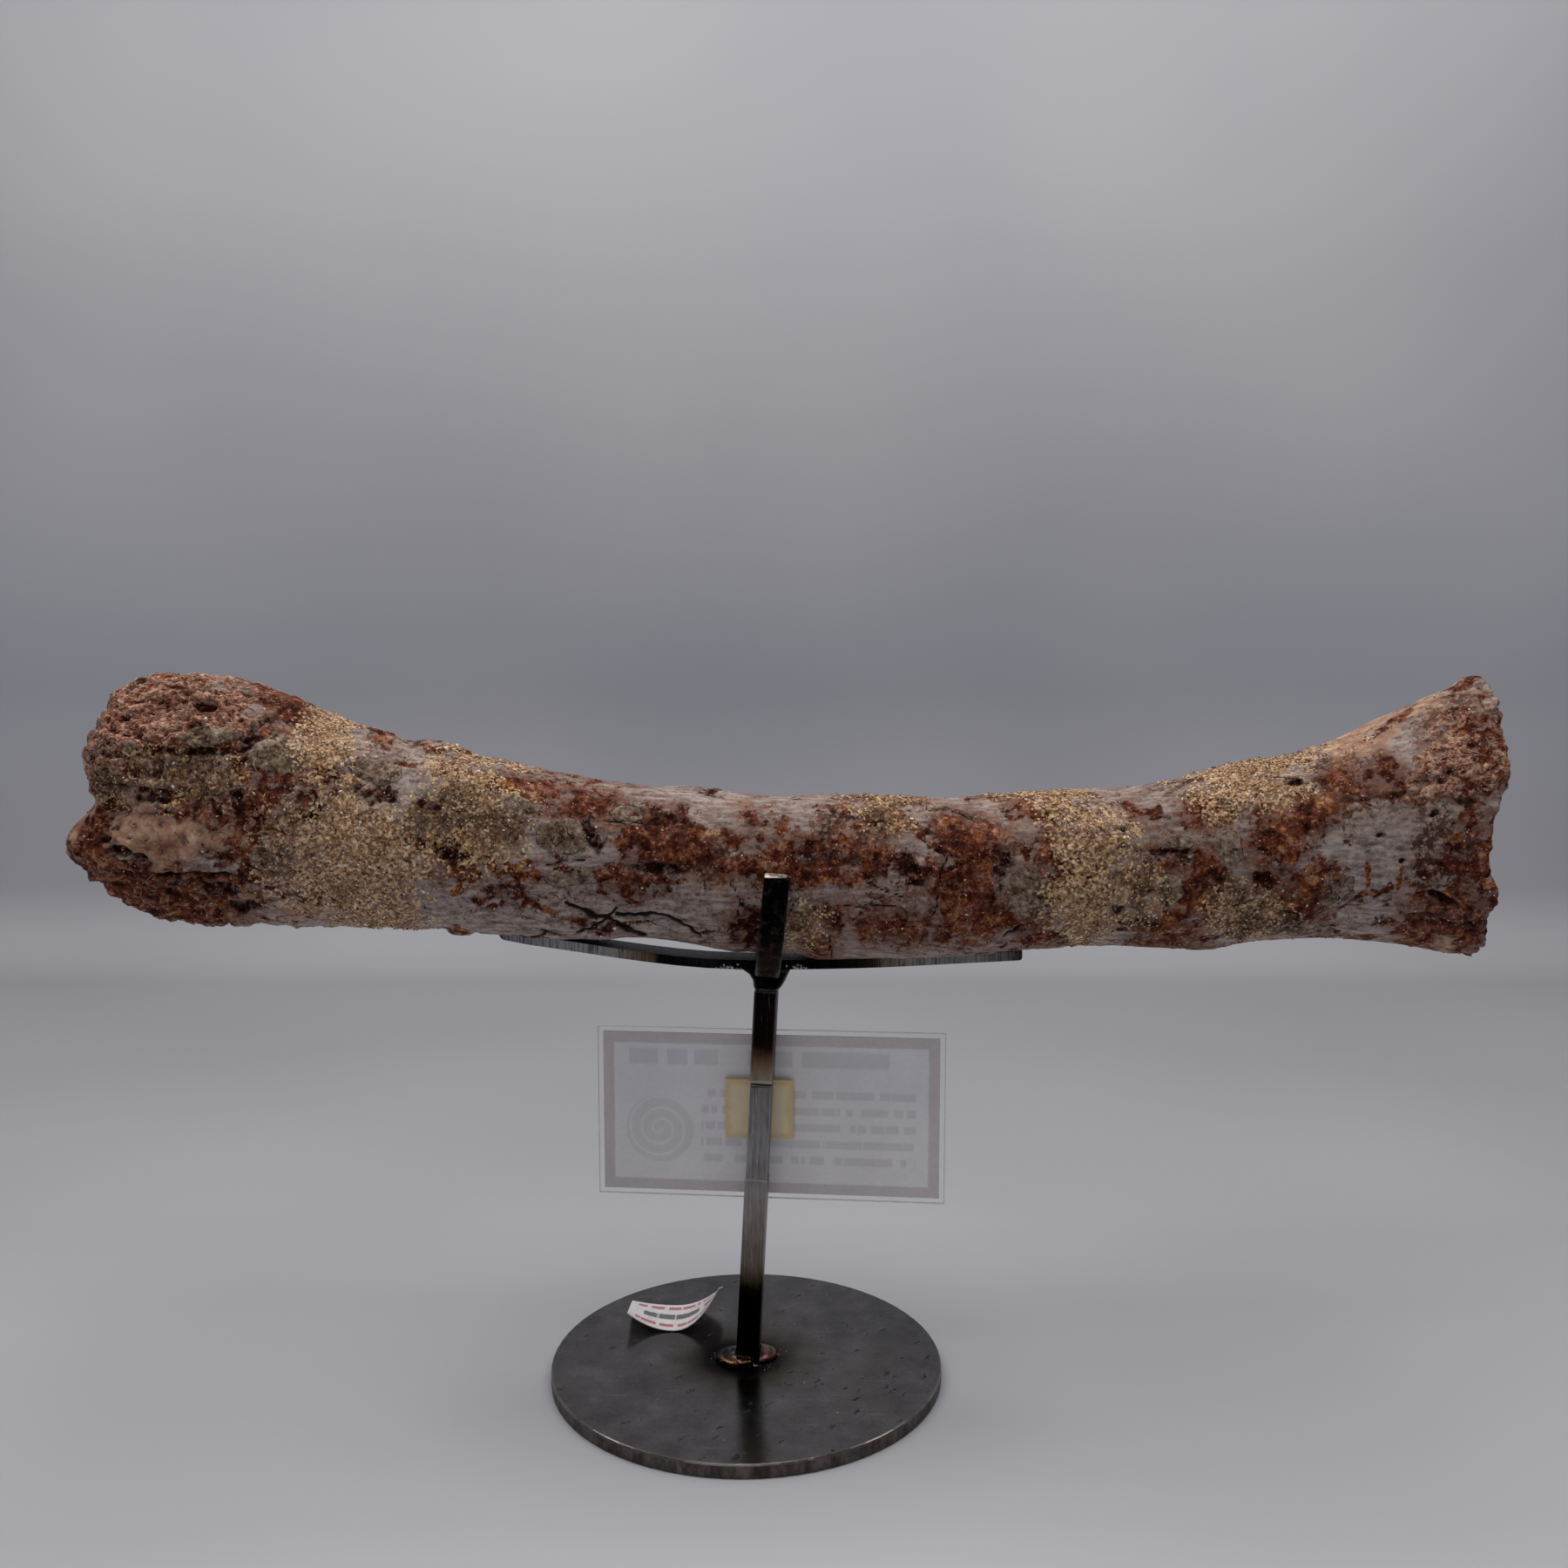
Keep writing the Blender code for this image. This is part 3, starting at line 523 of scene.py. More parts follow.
BREAK_PATCHES = [
    ("rust", 141, 146, 8, 4.2, -12, 0.95),
    ("rust", 136, 140, 6.7, 4.2, 0, 0.9),
    ("slab", 123, 138, 3.1, 6.3, 0, 0.85),
    ("olive", 125, 123, 4.6, 4.2, 0, 0.9),
    ("sand", 132, 157, 11.5, 4.8, 8, 1),
    ("sand", 122, 154, 5.5, 4.6, 20, 0.9),
    ("bone", 138, 157, 4.2, 1.5, 0, 0.95),
    ("dark", 139, 155, 1.3, 0.6, 0, 1),
    ("bone", 158, 165, 15, 6.5, 24, 1),
    ("pale", 155, 166, 14, 5.0, 24, 0.85),
    ("pale", 168, 174, 10.5, 3.4, 26, 0.6),
    ("bone", 171, 168, 6.7, 3.6, 15, 0.9),
    ("rust", 164, 171, 4.8, 1.5, 28, 1),
    ("rust", 182, 180, 4.2, 1.3, 20, 1),
    ("bone", 148, 158, 5, 3, 0, 0.9),
    ("rust", 184, 162, 10, 9.2, 0, 0.9),
    ("rust", 167, 154, 12, 3.1, 4, 0.8),
    ("sponge", 183, 162, 11, 10.5, 0, 0.9),
    ("sponge", 171, 155, 9, 3.4, 6, 0.7),
    ("rust", 185, 170, 5, 5.3, 0, 0.6),
    ("rust", 187, 158, 7, 12, 0, 0.5),
    ("rust", 175, 157, 8, 4, 0, 0.4),
    ("rust", 151, 155, 3.1, 2.5, 0, 0.9),
    ("rust", 162, 156, 4, 3.6, 0, 0.95),
    ("bone", 163, 142, 17.5, 7.4, 4, 1),
    ("bone", 174, 148, 6.7, 2.5, 12, 0.8),
    ("rust", 142, 124, 5.2, 4.6, -20, 1),
    ("dark", 133, 131, 4, 2.7, 0, 0.95),
    ("dark", 139, 121, 3, 1.7, -20, 0.6),
    ("olive", 131, 120, 7.1, 2.7, 0, 0.9),
    ("slab", 151, 128, 5, 4.4, 0, 0.5),
    ("ochre", 158, 130, 0.8, 4.5, 6, 0.8),
    ("rust", 154.5, 124, 4.6, 0.8, 40, 0.9),
    ("rust", 161, 127, 4.4, 0.7, 12, 0.85),
    ("ochre", 144, 133, 1.9, 1.5, 0, 0.8),
    ("ochre", 149, 132, 1.7, 1.1, 0, 0.6),
    ("rust", 163, 124, 3.8, 0.9, -8, 0.7),
    ("ochre", 166.5, 131, 0.9, 4.0, -6, 0.8),
    ("ochre", 175, 131, 4, 1.5, 20, 0.5),
    ("bone", 162, 121, 6.1, 2.5, 2, 0.95),
    ("rust", 187, 137, 5, 10, 0, 0.85),
    ("ochre", 184, 141, 4.6, 5.5, 0, 0.3),
    ("ochre", 180, 141, 1.7, 1.3, 0, 0.8),
    ("ochre", 190, 128, 1.9, 1.9, 0, 1),
    ("rust", 180, 118, 11.5, 6.9, -8, 0.95),
    ("dark", 177, 119, 7.1, 3, -10, 0.55),
    ("dark", 178, 125, 4.2, 1.1, -25, 0.8),
    ("pale", 179, 113, 3.1, 1.7, 0, 0.8),
    ("rust", 174, 132, 5.5, 2.5, 0, 0.5),
    ("slab", 143, 117, 9.7, 1.7, -3, 0.85),
    ("rust", 156, 116, 6.3, 1.1, 0, 0.85),
    ("dark", 153, 140, 0.8, 0.5, 0, 0.7),
    ("dark", 161, 141, 0.8, 0.6, 0, 0.7),
    ("dark", 167, 135, 0.9, 0.8, 0, 0.8),
    ("dark", 175, 147, 1.1, 0.7, 30, 0.8),
]
PATCHES = KNEE_PATCHES + SHAFT_PATCHES + BREAK_PATCHES
# Each row: end (-1 knee, 1 break), finish, y, z, half width, half height and cover, all but the
# last as shares of that end's own face.
END_PATCHES = [
    (1, "sponge", 0, 0, 0.84, 0.88, 1), (1, "rust", -0.2, 0.55, 0.5, 0.3, 0.8),
    (1, "rust", 0.3, -0.6, 0.5, 0.3, 0.7), (1, "dark", 0.12, 0.1, 0.40, 0.36, 0.85),
    (1, "dark", -0.35, -0.42, 0.26, 0.20, 0.7), (1, "sand", -0.42, 0.25, 0.22, 0.30, 0.9),
    (1, "sand", 0.42, -0.38, 0.26, 0.22, 0.9), (1, "ochre", 0.45, 0.55, 0.20, 0.16, 0.8),
    (-1, "sponge", 0, 0.45, 0.9, 0.5, 1), (-1, "rust", 0, -0.5, 0.9, 0.5, 0.9),
    (-1, "olive", 0.35, 0.1, 0.4, 0.2, 0.9), (-1, "pale", -0.4, -0.2, 0.45, 0.28, 0.9),
    (-1, "dark", 0.05, 0.0, 0.12, 0.5, 0.7), (-1, "sand", 0.5, -0.45, 0.3, 0.25, 0.8),
    (-1, "slab", -0.35, 0.55, 0.3, 0.16, 0.9), (-1, "ochre", 0.3, 0.72, 0.2, 0.12, 0.8),
]
print("There are", len(PATCHES), "patches")

# %% Mix the finishes at every point of the skin
FINISH_NAMES = ("bone", "rust", "dark", "sand", "olive", "sponge", "slab", "ochre", "pale")
SOFTNESS = {"slab": 0.9, "bone": 3.2, "pale": 8, "sand": 5.0, "olive": 5.0, "dark": 4.5}
CRUST_SOFTNESS = 4.2
FRAY = {"slab": 0.6, "bone": 1.3, "dark": 1.1, "pale": 0.35, "sand": 1.8, "olive": 1.8}
CRUST_FRAY = 1.4
DENSITY = {"rust": 0.88, "sand": 0.88, "olive": 0.80, "slab": 0.88, "pale": 0.9, "dark": 0.85}
RUST_SPREAD = 1.18
HALO = 5.5
LEAST_HALOED = 2
# Round a patch the bone is washed with its stain, and round sand also dusted with grains.
STAINED = {"wash": 1}
DUSTED = {"dust": 1, "wash": 0.7}
HALOS = {"rust": STAINED, "dark": STAINED, "ochre": STAINED, "sand": DUSTED, "olive": DUSTED}
GAP_CONTRAST = 2.4
GAP_SHARE = 0.45
SLAB_WARP = 0.35
PLATE_SIDES = 6
BACK_SHIFT = 11
BACK_SHIFT_WAVE = 37


def smooth_step(low, high, value):
    """0 below low, 1 above high, and a smooth step between them."""
    t = np.clip((value - low) / (high - low), 0, 1)
    return t * t * (3 - 2 * t)


def lumps(points, size, pattern=0, octaves=1, basis="PERLIN_ORIGINAL"):
    """Noise from about -1 to 1 with lumps size mm across. Each pattern number is another draw."""
    places = (points / size + pattern * 31.7).tolist()
    if octaves == 1:
        return np.array([noise.noise(p, noise_basis=basis) for p in places])
    return np.array([noise.fractal(p, 1.0, 2.0, octaves, noise_basis=basis) for p in places])


def seen_at(side):
    """Where the skin is seen on the plane y = 0, from in front (1) or behind (-1), in mm, and
    how far it faces that way. From behind, the places are shifted along the bone."""
    eye = np.array(CAMERA_PLACE) * (1, side, 1)
    ray = skin - eye
    share = -eye[1] / ray[:, 1]
    faces_eye = np.sum(out * -ray, axis=1) / np.linalg.norm(ray, axis=1)
    seen_x, seen_z = eye[0] + ray[:, 0] * share, eye[2] + ray[:, 2] * share
    if side < 0:
        seen_x = seen_x + BACK_SHIFT * np.sin(seen_x / BACK_SHIFT_WAVE)
    return seen_x, seen_z, faces_eye


def turned_back(dx, dz, tilt):
    """Places along and across an ellipse that is tilted by so many degrees."""
    c, s = math.cos(math.radians(tilt)), math.sin(math.radians(tilt))
    return dx * c + dz * s, dz * c - dx * s


def plate_radius(along, across, draw):
    """1 on the rim of an angular plate, whose sides face slightly uneven ways."""
    turns = (np.arange(PLATE_SIDES) + draw.uniform(-0.3, 0.3, PLATE_SIDES)) * math.tau / PLATE_SIDES
    sides = [(along * math.cos(t) + across * math.sin(t)) / draw.uniform(0.75, 1.0) for t in turns]
    return np.max(sides, axis=0)


# The noise is turned, because noise in line with the net of squares makes a pattern of dots.
turned = skin @ np.array(Euler((0.5, 0.8, 0.3)).to_matrix())
fray = lumps(turned, 4.5, 1, 4)
clumps = lumps(turned, 2.3, 2, 3)
mix = {name: np.zeros(len(skin)) for name in FINISH_NAMES}
mix["bone"] += 1
halo = {"wash": np.zeros(len(skin)), "dust": np.zeros(len(skin))}


def lay(name, amount, spots=slice(None)):
    """Lays a finish over what is already there."""
    for other in mix.values():
        other[spots] *= 1 - amount
    mix[name][spots] += amount


def covering(name, inside, cover, spots=slice(None)):
    """How much a patch covers: its soft edge, and the gaps between its clumps."""
    amount = smooth_step(-0.5, 0.5, inside)
    amount *= np.clip(0.5 + GAP_CONTRAST * (cover - 0.5 + GAP_SHARE * clumps[spots]), 0, 1)
    return amount * DENSITY.get(name, 1)


print("Noise for the edges is ready")

# %% Lay the patches from both sides
STAIN_SHARE = 0.8
HALO_LEFT = 0.4
stain = lumps(skin * (0.5, 1, 1), 11, 3, 3)
lay("rust", STAIN_SHARE * smooth_step(0.2, 0.7, stain))
for side in (1, -1):
    draw = np.random.default_rng(3 + side)
    seen_x, seen_z, faces_eye = seen_at(side)
    near = smooth_step(-0.30, 0.05, faces_eye)
    warp_x = 2.2 * lumps(skin, 9, 4 + side) + 0.8 * lumps(skin, 2.6, 7 + side)
    warp_z = 1.8 * lumps(skin, 8, 10 + side) + 0.7 * lumps(skin, 2.4, 13 + side)
    for name, x, z, half_length, half_height, tilt, cover in PATCHES:
        spread = RUST_SPREAD if name == "rust" else 1
        a, b = half_length * spread, half_height * spread
        close = np.flatnonzero((abs(seen_x - x) < max(a, b) * 1.5 + 3 * HALO) & (near > 0))
        warp = SLAB_WARP if name == "slab" else 1
        along, across = turned_back(seen_x[close] + warp * warp_x[close] - x,
                                    seen_z[close] + warp * warp_z[close] - z, tilt)
        half = min(a, b)
        if name == "slab":
            radius = plate_radius(along / a, across / b, draw)
        else:
            radius = np.hypot(along / a, across / b)
        inside = (1 - radius) * half / min(SOFTNESS.get(name, CRUST_SOFTNESS), 1.2 * half)
        inside += FRAY.get(name, CRUST_FRAY) * fray[close] * min(1, half / 2.5)
        amount = covering(name, inside, cover, close) * near[close]
        lay(name, amount, close)
        if name in HALOS and half > LEAST_HALOED:
            wide = np.exp(-np.hypot(along / (a + HALO), across / (b + HALO)) ** 3) * near[close] * cover
            for label, share in HALOS[name].items():
                halo[label][close] = np.maximum(halo[label][close], share * wide)
        else:
            for field in halo.values():
                field[close] *= 1 - (1 - HALO_LEFT) * amount
print("Shares of the skin:", {name: round(float(part.mean()), 2) for name, part in mix.items()})

# %% Lay the patches on the two ends
END_REACH = {-1: -150, 1: 165}
END_SHARPNESS = 6
END_FRAY = 1.2
face_radius = {}
for end, name, y, z, half_width, half_height, cover in END_PATCHES:
    faces_out = smooth_step(0.30, 0.65, end * out[:, 0]) * (end * (skin[:, 0] - END_REACH[end]) > 0)
    face = skin[faces_out > 0.5][:, 1:]
    low, high = face.min(axis=0), face.max(axis=0)
    at = (2 * skin[:, 1:] - low - high) / (high - low)
    face_radius[end] = np.where(faces_out > 0, np.hypot(at[:, 0], at[:, 1]), 2)
    radius = np.hypot((at[:, 0] - y) / half_width, (at[:, 1] - z) / half_height)
    inside = (1 - radius) * half_height * END_SHARPNESS + END_FRAY * fray
    lay(name, covering(name, inside, cover) * faces_out)
print("With the ends:", {name: round(float(part.mean()), 2) for name, part in mix.items()})

# %% [markdown]
# ## Cracks
# Buried bone dries and splits: black hairlines run over the shaft, and on its underside two
# of them cross. They could be painted, but a real groove catches its own shadow. Each crack is
# a short list of points in the same front view, and the skin sinks along the line.

# %% Trace the cracks
# Each row: half width, then the points, all in mm.
CRACKS = [
    (0.80, [(-46, 124), (-42, 122.5), (-38, 120.5), (-34.5, 120), (-32, 118), (-26, 115.5)]),
    (0.50, [(-43, 117.5), (-40, 118), (-37, 119), (-34.5, 121), (-33, 122.5)]),
    (0.66, [(-33, 121), (-28, 121), (-23, 121), (-19.5, 120), (-17, 119), (-12, 116)]),
    (0.26, [(-51.5, 133.5), (-48, 134.5), (-44.5, 134.5), (-40.5, 135.5)]),
    (0.26, [(-35.5, 145), (-32, 145), (-27, 145), (-24.5, 144.5)]),
    (0.26, [(-4, 129), (-2.5, 127), (-1, 124.5), (-2, 122), (-2, 120.5), (-3.5, 118), (-5.5, 116)]),
    (0.26, [(31, 129.5), (34, 128), (36.5, 126.5), (40, 126)]),
    (0.26, [(25, 123.5), (30, 123), (34, 123.5), (38, 123.5)]),
    (0.22, [(-38, 120.5), (-40, 117), (-43, 114)]),
    (0.22, [(-27, 121), (-24, 118.5), (-20, 117.5)]),
    (0.26, [(50, 132.5), (49.5, 131), (48.5, 128), (49, 124.5), (48, 120.5)]),
    (0.26, [(44, 141), (46.5, 139), (49, 137.5), (51, 135.5), (50, 132.5)]),
    (0.26, [(50, 132.5), (52, 132.5), (55, 134), (58, 135.5)]),
    (0.26, [(44.5, 150), (47, 148), (49.5, 148.5), (52.5, 148), (55, 147), (58, 145.5)]),
    (0.26, [(21, 116.5), (21.5, 114), (22, 110.5)]),
    (0.26, [(13.5, 125.5), (12.5, 124), (11.5, 122.5)]),
    (0.26, [(133.5, 156), (136, 156), (139, 156)]),
    (0.26, [(65.5, 115.5), (70, 117.5), (74, 119), (79, 119.5)]),
]

CRACK_WANDER = 0.6
WANDER_SIZE = 2.2

crack = np.zeros(len(skin))
for side in (1, -1):
    seen_x, seen_z, faces_eye = seen_at(side)
    seen_x = seen_x + CRACK_WANDER * lumps(skin, WANDER_SIZE, 20 + side)
    seen_z = seen_z + CRACK_WANDER * lumps(skin, WANDER_SIZE, 23 + side)
    for half_width, line in CRACKS:
        for (x0, z0), (x1, z1) in zip(line, line[1:]):
            length = math.hypot(x1 - x0, z1 - z0)
            along = np.clip(((seen_x - x0) * (x1 - x0) + (seen_z - z0) * (z1 - z0)) / length ** 2, 0, 1)
            away = np.hypot(seen_x - x0 - along * (x1 - x0), seen_z - z0 - along * (z1 - z0))
            crack = np.maximum(crack, np.clip(1.4 - away / half_width, 0, 1) * (faces_eye > 0.05))
print("The cracks pass through", int((crack > 0).sum()), "points")

# %% [markdown]
# ## Chips, pits and ledges
# The bone's two ends lost their hard shell, and wind and tools left single marks there that the
# eye goes to: a chip over a black pit, a stone lens with a hollow under it, ledges and holes
# along the lower lobe. Noise doesn't make such things, so each is listed one by one, as an
# ellipse with a steep rim and the height of its middle over the skin round it.

# %% List the single marks
# Each row: x, z, half length, half height, tilt in degrees, height in mm.
MARKS = [
    (-136, 176.6, 3.4, 0.9, -8, 1.1), (-136, 174.6, 2.9, 1.2, -6, -1.6), (-125, 178, 2.2, 1.0, -15, -1.3),
    (-134.5, 167.6, 8.2, 2.7, 10, 1.0), (-137, 163, 10.5, 1.3, 3, -1.1), (-121.5, 171.5, 5.5, 1.1, 24, 0.8),
    (-129, 173, 7, 0.9, -33, 0.9), (-146, 178, 6, 1.2, 20, 0.8), (-152, 172.5, 8, 0.9, 14, -0.8),
    (-146, 169.6, 9, 0.8, 8, 0.8), (-158, 166, 5.5, 0.9, -20, 0.9), (-161, 162, 4, 1.0, 0, -0.9),
    (-113, 174.5, 9, 1.0, -30, 0.8), (-126, 165, 2.6, 1.6, 25, -1.0), (-150.5, 151.6, 5.2, 1.8, -5, -1.3),
    (-150.5, 148.6, 4.6, 0.8, 6, 1.0), (-152, 155, 10, 1.1, -3, 0.7), (-159.5, 137.6, 3.0, 1.4, -20, -1.5),
    (-157, 139.4, 3.4, 0.6, -24, 0.9), (-154.5, 135.8, 1.9, 1.0, -10, -1.5),
    (-163.5, 141, 1.6, 1.2, 0, -1.2),
    (-141, 133.3, 10.5, 1.5, 2, 0.6), (-141, 130.9, 9.5, 0.9, 2, -1.2), (-140, 128.4, 3.4, 1.2, -5, -1.1),
    (-134, 127, 4.6, 1.9, 0, -1.2), (-128.5, 122.6, 3.0, 1.7, 0, -1.1), (-147, 126, 3.2, 1.1, -15, -1.2),
    (-140, 123, 5, 1.1, -12, 0.8), (-151, 130, 4, 1.0, -25, 0.8), (-163, 131, 3.0, 1.5, -20, 0.8),
    (-129, 152, 1.7, 1.4, 0, -1.0), (-117, 162, 8, 5, -8, 0.3), (-93, 151, 5.2, 2.0, 0, -0.4),
    (-93, 167, 5.6, 1.3, -14, 0.8), (-77, 164, 6, 1.7, -8, 1.0), (-73, 117.5, 3.0, 1.2, 0, 0.9),
    (-74, 127, 2.5, 1.5, 0, 0.9), (-106, 160, 5, 2.2, -30, 0.7), (-112, 151, 4, 1.4, 10, -0.7),
    (-75, 137, 5, 2.0, -20, -0.8), (-60, 141, 1.6, 5.0, 15, -0.6), (-39.5, 141, 1.6, 5.2, 20, -1.0),
    (-19, 145, 8, 1.6, -14, -0.8), (-23, 133, 9, 1.4, -4, -0.7), (1, 117.5, 3.4, 4.6, 0, -0.7),
    (22, 134.5, 9, 1.3, 0, -0.7), (43, 131, 2.2, 3.6, 20, -0.8), (65, 134, 2.6, 5.0, 10, -0.9),
    (30, 148, 7, 2.2, 0, 0.5), (-12, 153.6, 7, 0.7, -4, 0.5), (45, 134.4, 2.4, 0.8, -20, 0.8),
    (95, 122.2, 1.6, 1.0, 10, -1.0), (108.5, 137.6, 6.5, 0.8, -3, -0.6), (118, 127, 3.0, 2.2, 0, -0.9),
    (138.5, 156.2, 4.8, 1.3, 2, 0.6), (139.6, 154.9, 2.4, 0.5, 4, -0.7), (142, 147, 7.5, 3.8, -14, 0.7),
    (134, 141, 5, 2.6, 20, 0.6), (133, 131.5, 3.8, 2.4, 10, -1.0), (142.5, 124.5, 4.6, 4.0, -20, 0.8),
    (139, 120.6, 3.0, 1.3, -20, -1.0), (124.5, 139, 3.4, 6.5, 0, 0.3), (167, 135, 1.0, 0.9, 0, -0.7),
    (175, 147.4, 1.3, 0.9, 30, -0.8), (161, 141.6, 0.9, 0.7, 0, -0.6), (153, 140, 1.1, 0.6, 0, -0.6),
    (178, 125, 4.4, 1.1, -25, -1.6), (172, 119.6, 3.6, 1.5, -10, -1.2), (184, 117, 2.6, 2.0, 0, -1.2),
    (176, 114.8, 3.0, 1.0, -6, -1.0), (180, 120.5, 3.0, 1.0, -15, 0.8), (182.5, 180.6, 4.2, 1.3, 20, 0.7),
    (190, 128, 2.2, 2.2, 0, 0.8), (165, 171.5, 5, 1.3, 28, 0.4), (180, 158, 4, 1.2, 15, -0.8),
    (172, 155, 5, 1.2, 6, -0.8), (164, 151.5, 10, 0.9, 8, -0.5), (184, 166, 3.4, 1.4, -20, 0.8),
    (183, 150, 2.4, 1.6, 0, -0.9), (186, 139, 2.4, 1.8, 0, -0.8), (151, 128, 5.2, 4.4, 0, 0.3),
    (74, 118.4, 7, 0.9, 12, -0.8), (77, 115.6, 7, 0.9, 8, 0.7), (84, 112.5, 8, 1.0, 2, 0.5),
]
MARK_RIM = 0.45
PIT_RIM = 0.36

marks = np.zeros(len(skin))
for side in (1, -1):
    seen_x, seen_z, faces_eye = seen_at(side)
    near = smooth_step(-0.15, 0.15, faces_eye)
    seen_x = seen_x + 0.7 * lumps(skin, 2.6, 40 + side, 2)
    seen_z = seen_z + 0.5 * lumps(skin, 2.2, 43 + side, 2)
    for x, z, half_length, half_height, tilt, lift in MARKS:
        close = np.flatnonzero((abs(seen_x - x) < 2 * max(half_length, half_height)) & (near > 0))
        along, across = turned_back(seen_x[close] - x, seen_z[close] - z, tilt)
        radius = np.hypot(along / half_length, across / half_height)
        rim = MARK_RIM if lift > 0 else PIT_RIM
        marks[close] += lift * smooth_step(1 + rim, 1 - rim, radius) * near[close]
print(len(MARKS), "marks, from", round(float(marks.min()), 1), "to", round(float(marks.max()), 1), "mm")

# %% [markdown]
# ## Relief
# Each finish has its own relief. Sandstone stands proud in lumps, iron crust in warts, the
# slabs are flat plates with steep rims, and dark stains lie in hollows. The spongy bone has a
# grain along the condyle. All of it moves the points along their own normals, in mm. The relief
# is also compared with its own average, and both go to the material: what is lower than its
# surroundings gets dirt and painted shade, and what is higher gets wear and a painted highlight.

# %% Raise and sink the skin
STAND_GAP = 0.15
SMEAR_ROUNDS = 7
BREAK_HOLLOW = 2.4
GROOVE_DEPTH = 1.8
GROOVE_HALF_WIDTH = 5
CRACK_DEPTH = 0.60
BROAD_HEIGHT = 0.22
SUNK = 0.15
CRAG_HEIGHT = 0.9
# For each finish, in mm: its lift, and the heights of its ribs, warts, fibres and rough grain.
HEIGHTS = {
    "bone": (0, 0.07, 0.07, 0, 0),
    "pale": (0.05, 0.06, 0, 0, 0),
    "rust": (0.05, 0, 0, 0, 0.34),
    "sand": (0.42, 0, 0, 0, 0.50),
    "olive": (0.22, 0, 0, 0, 0.45),
    "sponge": (0.45, 0, 0, 0.95, 0.35),
    "slab": (0.30, 0, 0.10, 0, 0),
    "ochre": (0.20, 0, 0, 0, 0.45),
    "dark": (-0.35, 0, 0, 0, 0.60),
}
# How far the underside sags towards the arms, as x and sag.
SAG_LINE = ((-80, 0), (-66, 1.5), (-36, 1.3), (-30, 0.2), (-6, 0.2), (6, 0.6), (14, 1.1), (40, 0.9),
            (74, 0.5), (84, 0))

broad = lumps(skin, 9, 30, 2)
warts = lumps(skin, 3.2, 31, 2)
grains = -lumps(skin, 1.1, 32, 1, "VORONOI_F1")
ribs = lumps(skin * (0.09, 1, 1), 1.0, 33, 2)
fibres = -abs(lumps(skin * (0.4, 1, 1), 1.5, 34, 2))
crags = lumps(skin, 6.5, 35, 2, "VORONOI_F2F1")
ends = smooth_step(-108, -130, skin[:, 0]) + smooth_step(172, 184, skin[:, 0])
grains -= grains.mean()
pebbles = -lumps(skin, 1.9, 36, 1, "VORONOI_F1")
pebbles -= pebbles.mean()
rough = 0.6 * warts + 0.5 * pebbles + 0.35 * grains
relief = BROAD_HEIGHT * broad - SUNK + marks
relief += ends * (CRAG_HEIGHT * crags + 0.4 * warts + 0.1) * (1 - 0.8 * mix["pale"])
for name, (lift, *shares) in HEIGHTS.items():
    forms = sum(share * form for share, form in zip(shares, (ribs, warts, fibres, rough)))
    relief += mix[name] * (lift + forms)
relief -= CRACK_DEPTH * crack
relief -= BREAK_HOLLOW * smooth_step(0.9, 0.55, face_radius[1])
groove = np.exp(-(skin[:, 1] / GROOVE_HALF_WIDTH) ** 2) * smooth_step(1.3, 0.8, face_radius[-1])
relief -= GROOVE_DEPTH * groove

edges = np.empty(len(net.edges) * 2, dtype=np.int64)
net.edges.foreach_get("vertices", edges)
one_end, other_end = edges.reshape(-1, 2).T
neighbours = np.bincount(edges, minlength=len(skin))
smeared = relief.copy()
for _ in range(SMEAR_ROUNDS):
    gathered = np.bincount(one_end, smeared[other_end], len(skin))
    gathered += np.bincount(other_end, smeared[one_end], len(skin))
    smeared = gathered / neighbours
proud = relief - smeared
print("The relief stands out by", round(float(proud.std()), 3), "mm on average")
under = smooth_step(0.35, 0.85, -out[:, 2])
relief += under * np.interp(skin[:, 0], *zip(*SAG_LINE))

# The stand's bars leave the crust only so much room before it would poke through them.
NOT_NEAR = ("femur", "specimen_card", "mounting_tape", "price_sticker", "base_disc")
ROOM_ENOUGH = 9.0
STAND_MIDDLE = 4
STAND_REACH = 80
STAND_TOP = 142
SEARCH = 4
room = np.full(len(skin), ROOM_ENOUGH)
beside = np.flatnonzero((abs(skin[:, 0] - STAND_MIDDLE) < STAND_REACH) & (skin[:, 2] < STAND_TOP))
for name in [n for n in nodes if n not in NOT_NEAR]:
    mesh = nodes[name].data
    bar = BVHTree.FromPolygons([v.co[:] for v in mesh.vertices], [p.vertices[:] for p in mesh.polygons])
    for i in beside:
        distance = bar.find_nearest(Vector(skin[i] * MM), SEARCH * MM)[3]
        if distance is not None:
            room[i] = min(room[i], distance / MM)
relief = np.minimum(relief, np.maximum(room - STAND_GAP, 0))
shaped = skin + out * relief[:, None]
print("The relief runs from", round(float(relief.min()), 2), "to", round(float(relief.max()), 2), "mm")

# %% [markdown]
# ## Cutting the skin in three
# One mesh of this fineness is heavy to handle, so it is cut in three lengths. A cut could show
# as a line, since shading at a mesh's edge knows only one side of it. Here all three keep the
# normals of the whole, and each end is closed with a fan, so every length is a closed body.

# %% Make the three lengths
CUTS = (-70, 80)
LENGTH_NAMES = ("femur_knee_end", "femur_shaft", "femur_broken_end")
RIM_REACH = 5


def store(mesh, label, values):
    """Stores a number at every point of a mesh, for its material to read."""
    mesh.attributes.new(label, "FLOAT", "POINT").data.foreach_set("value", values)


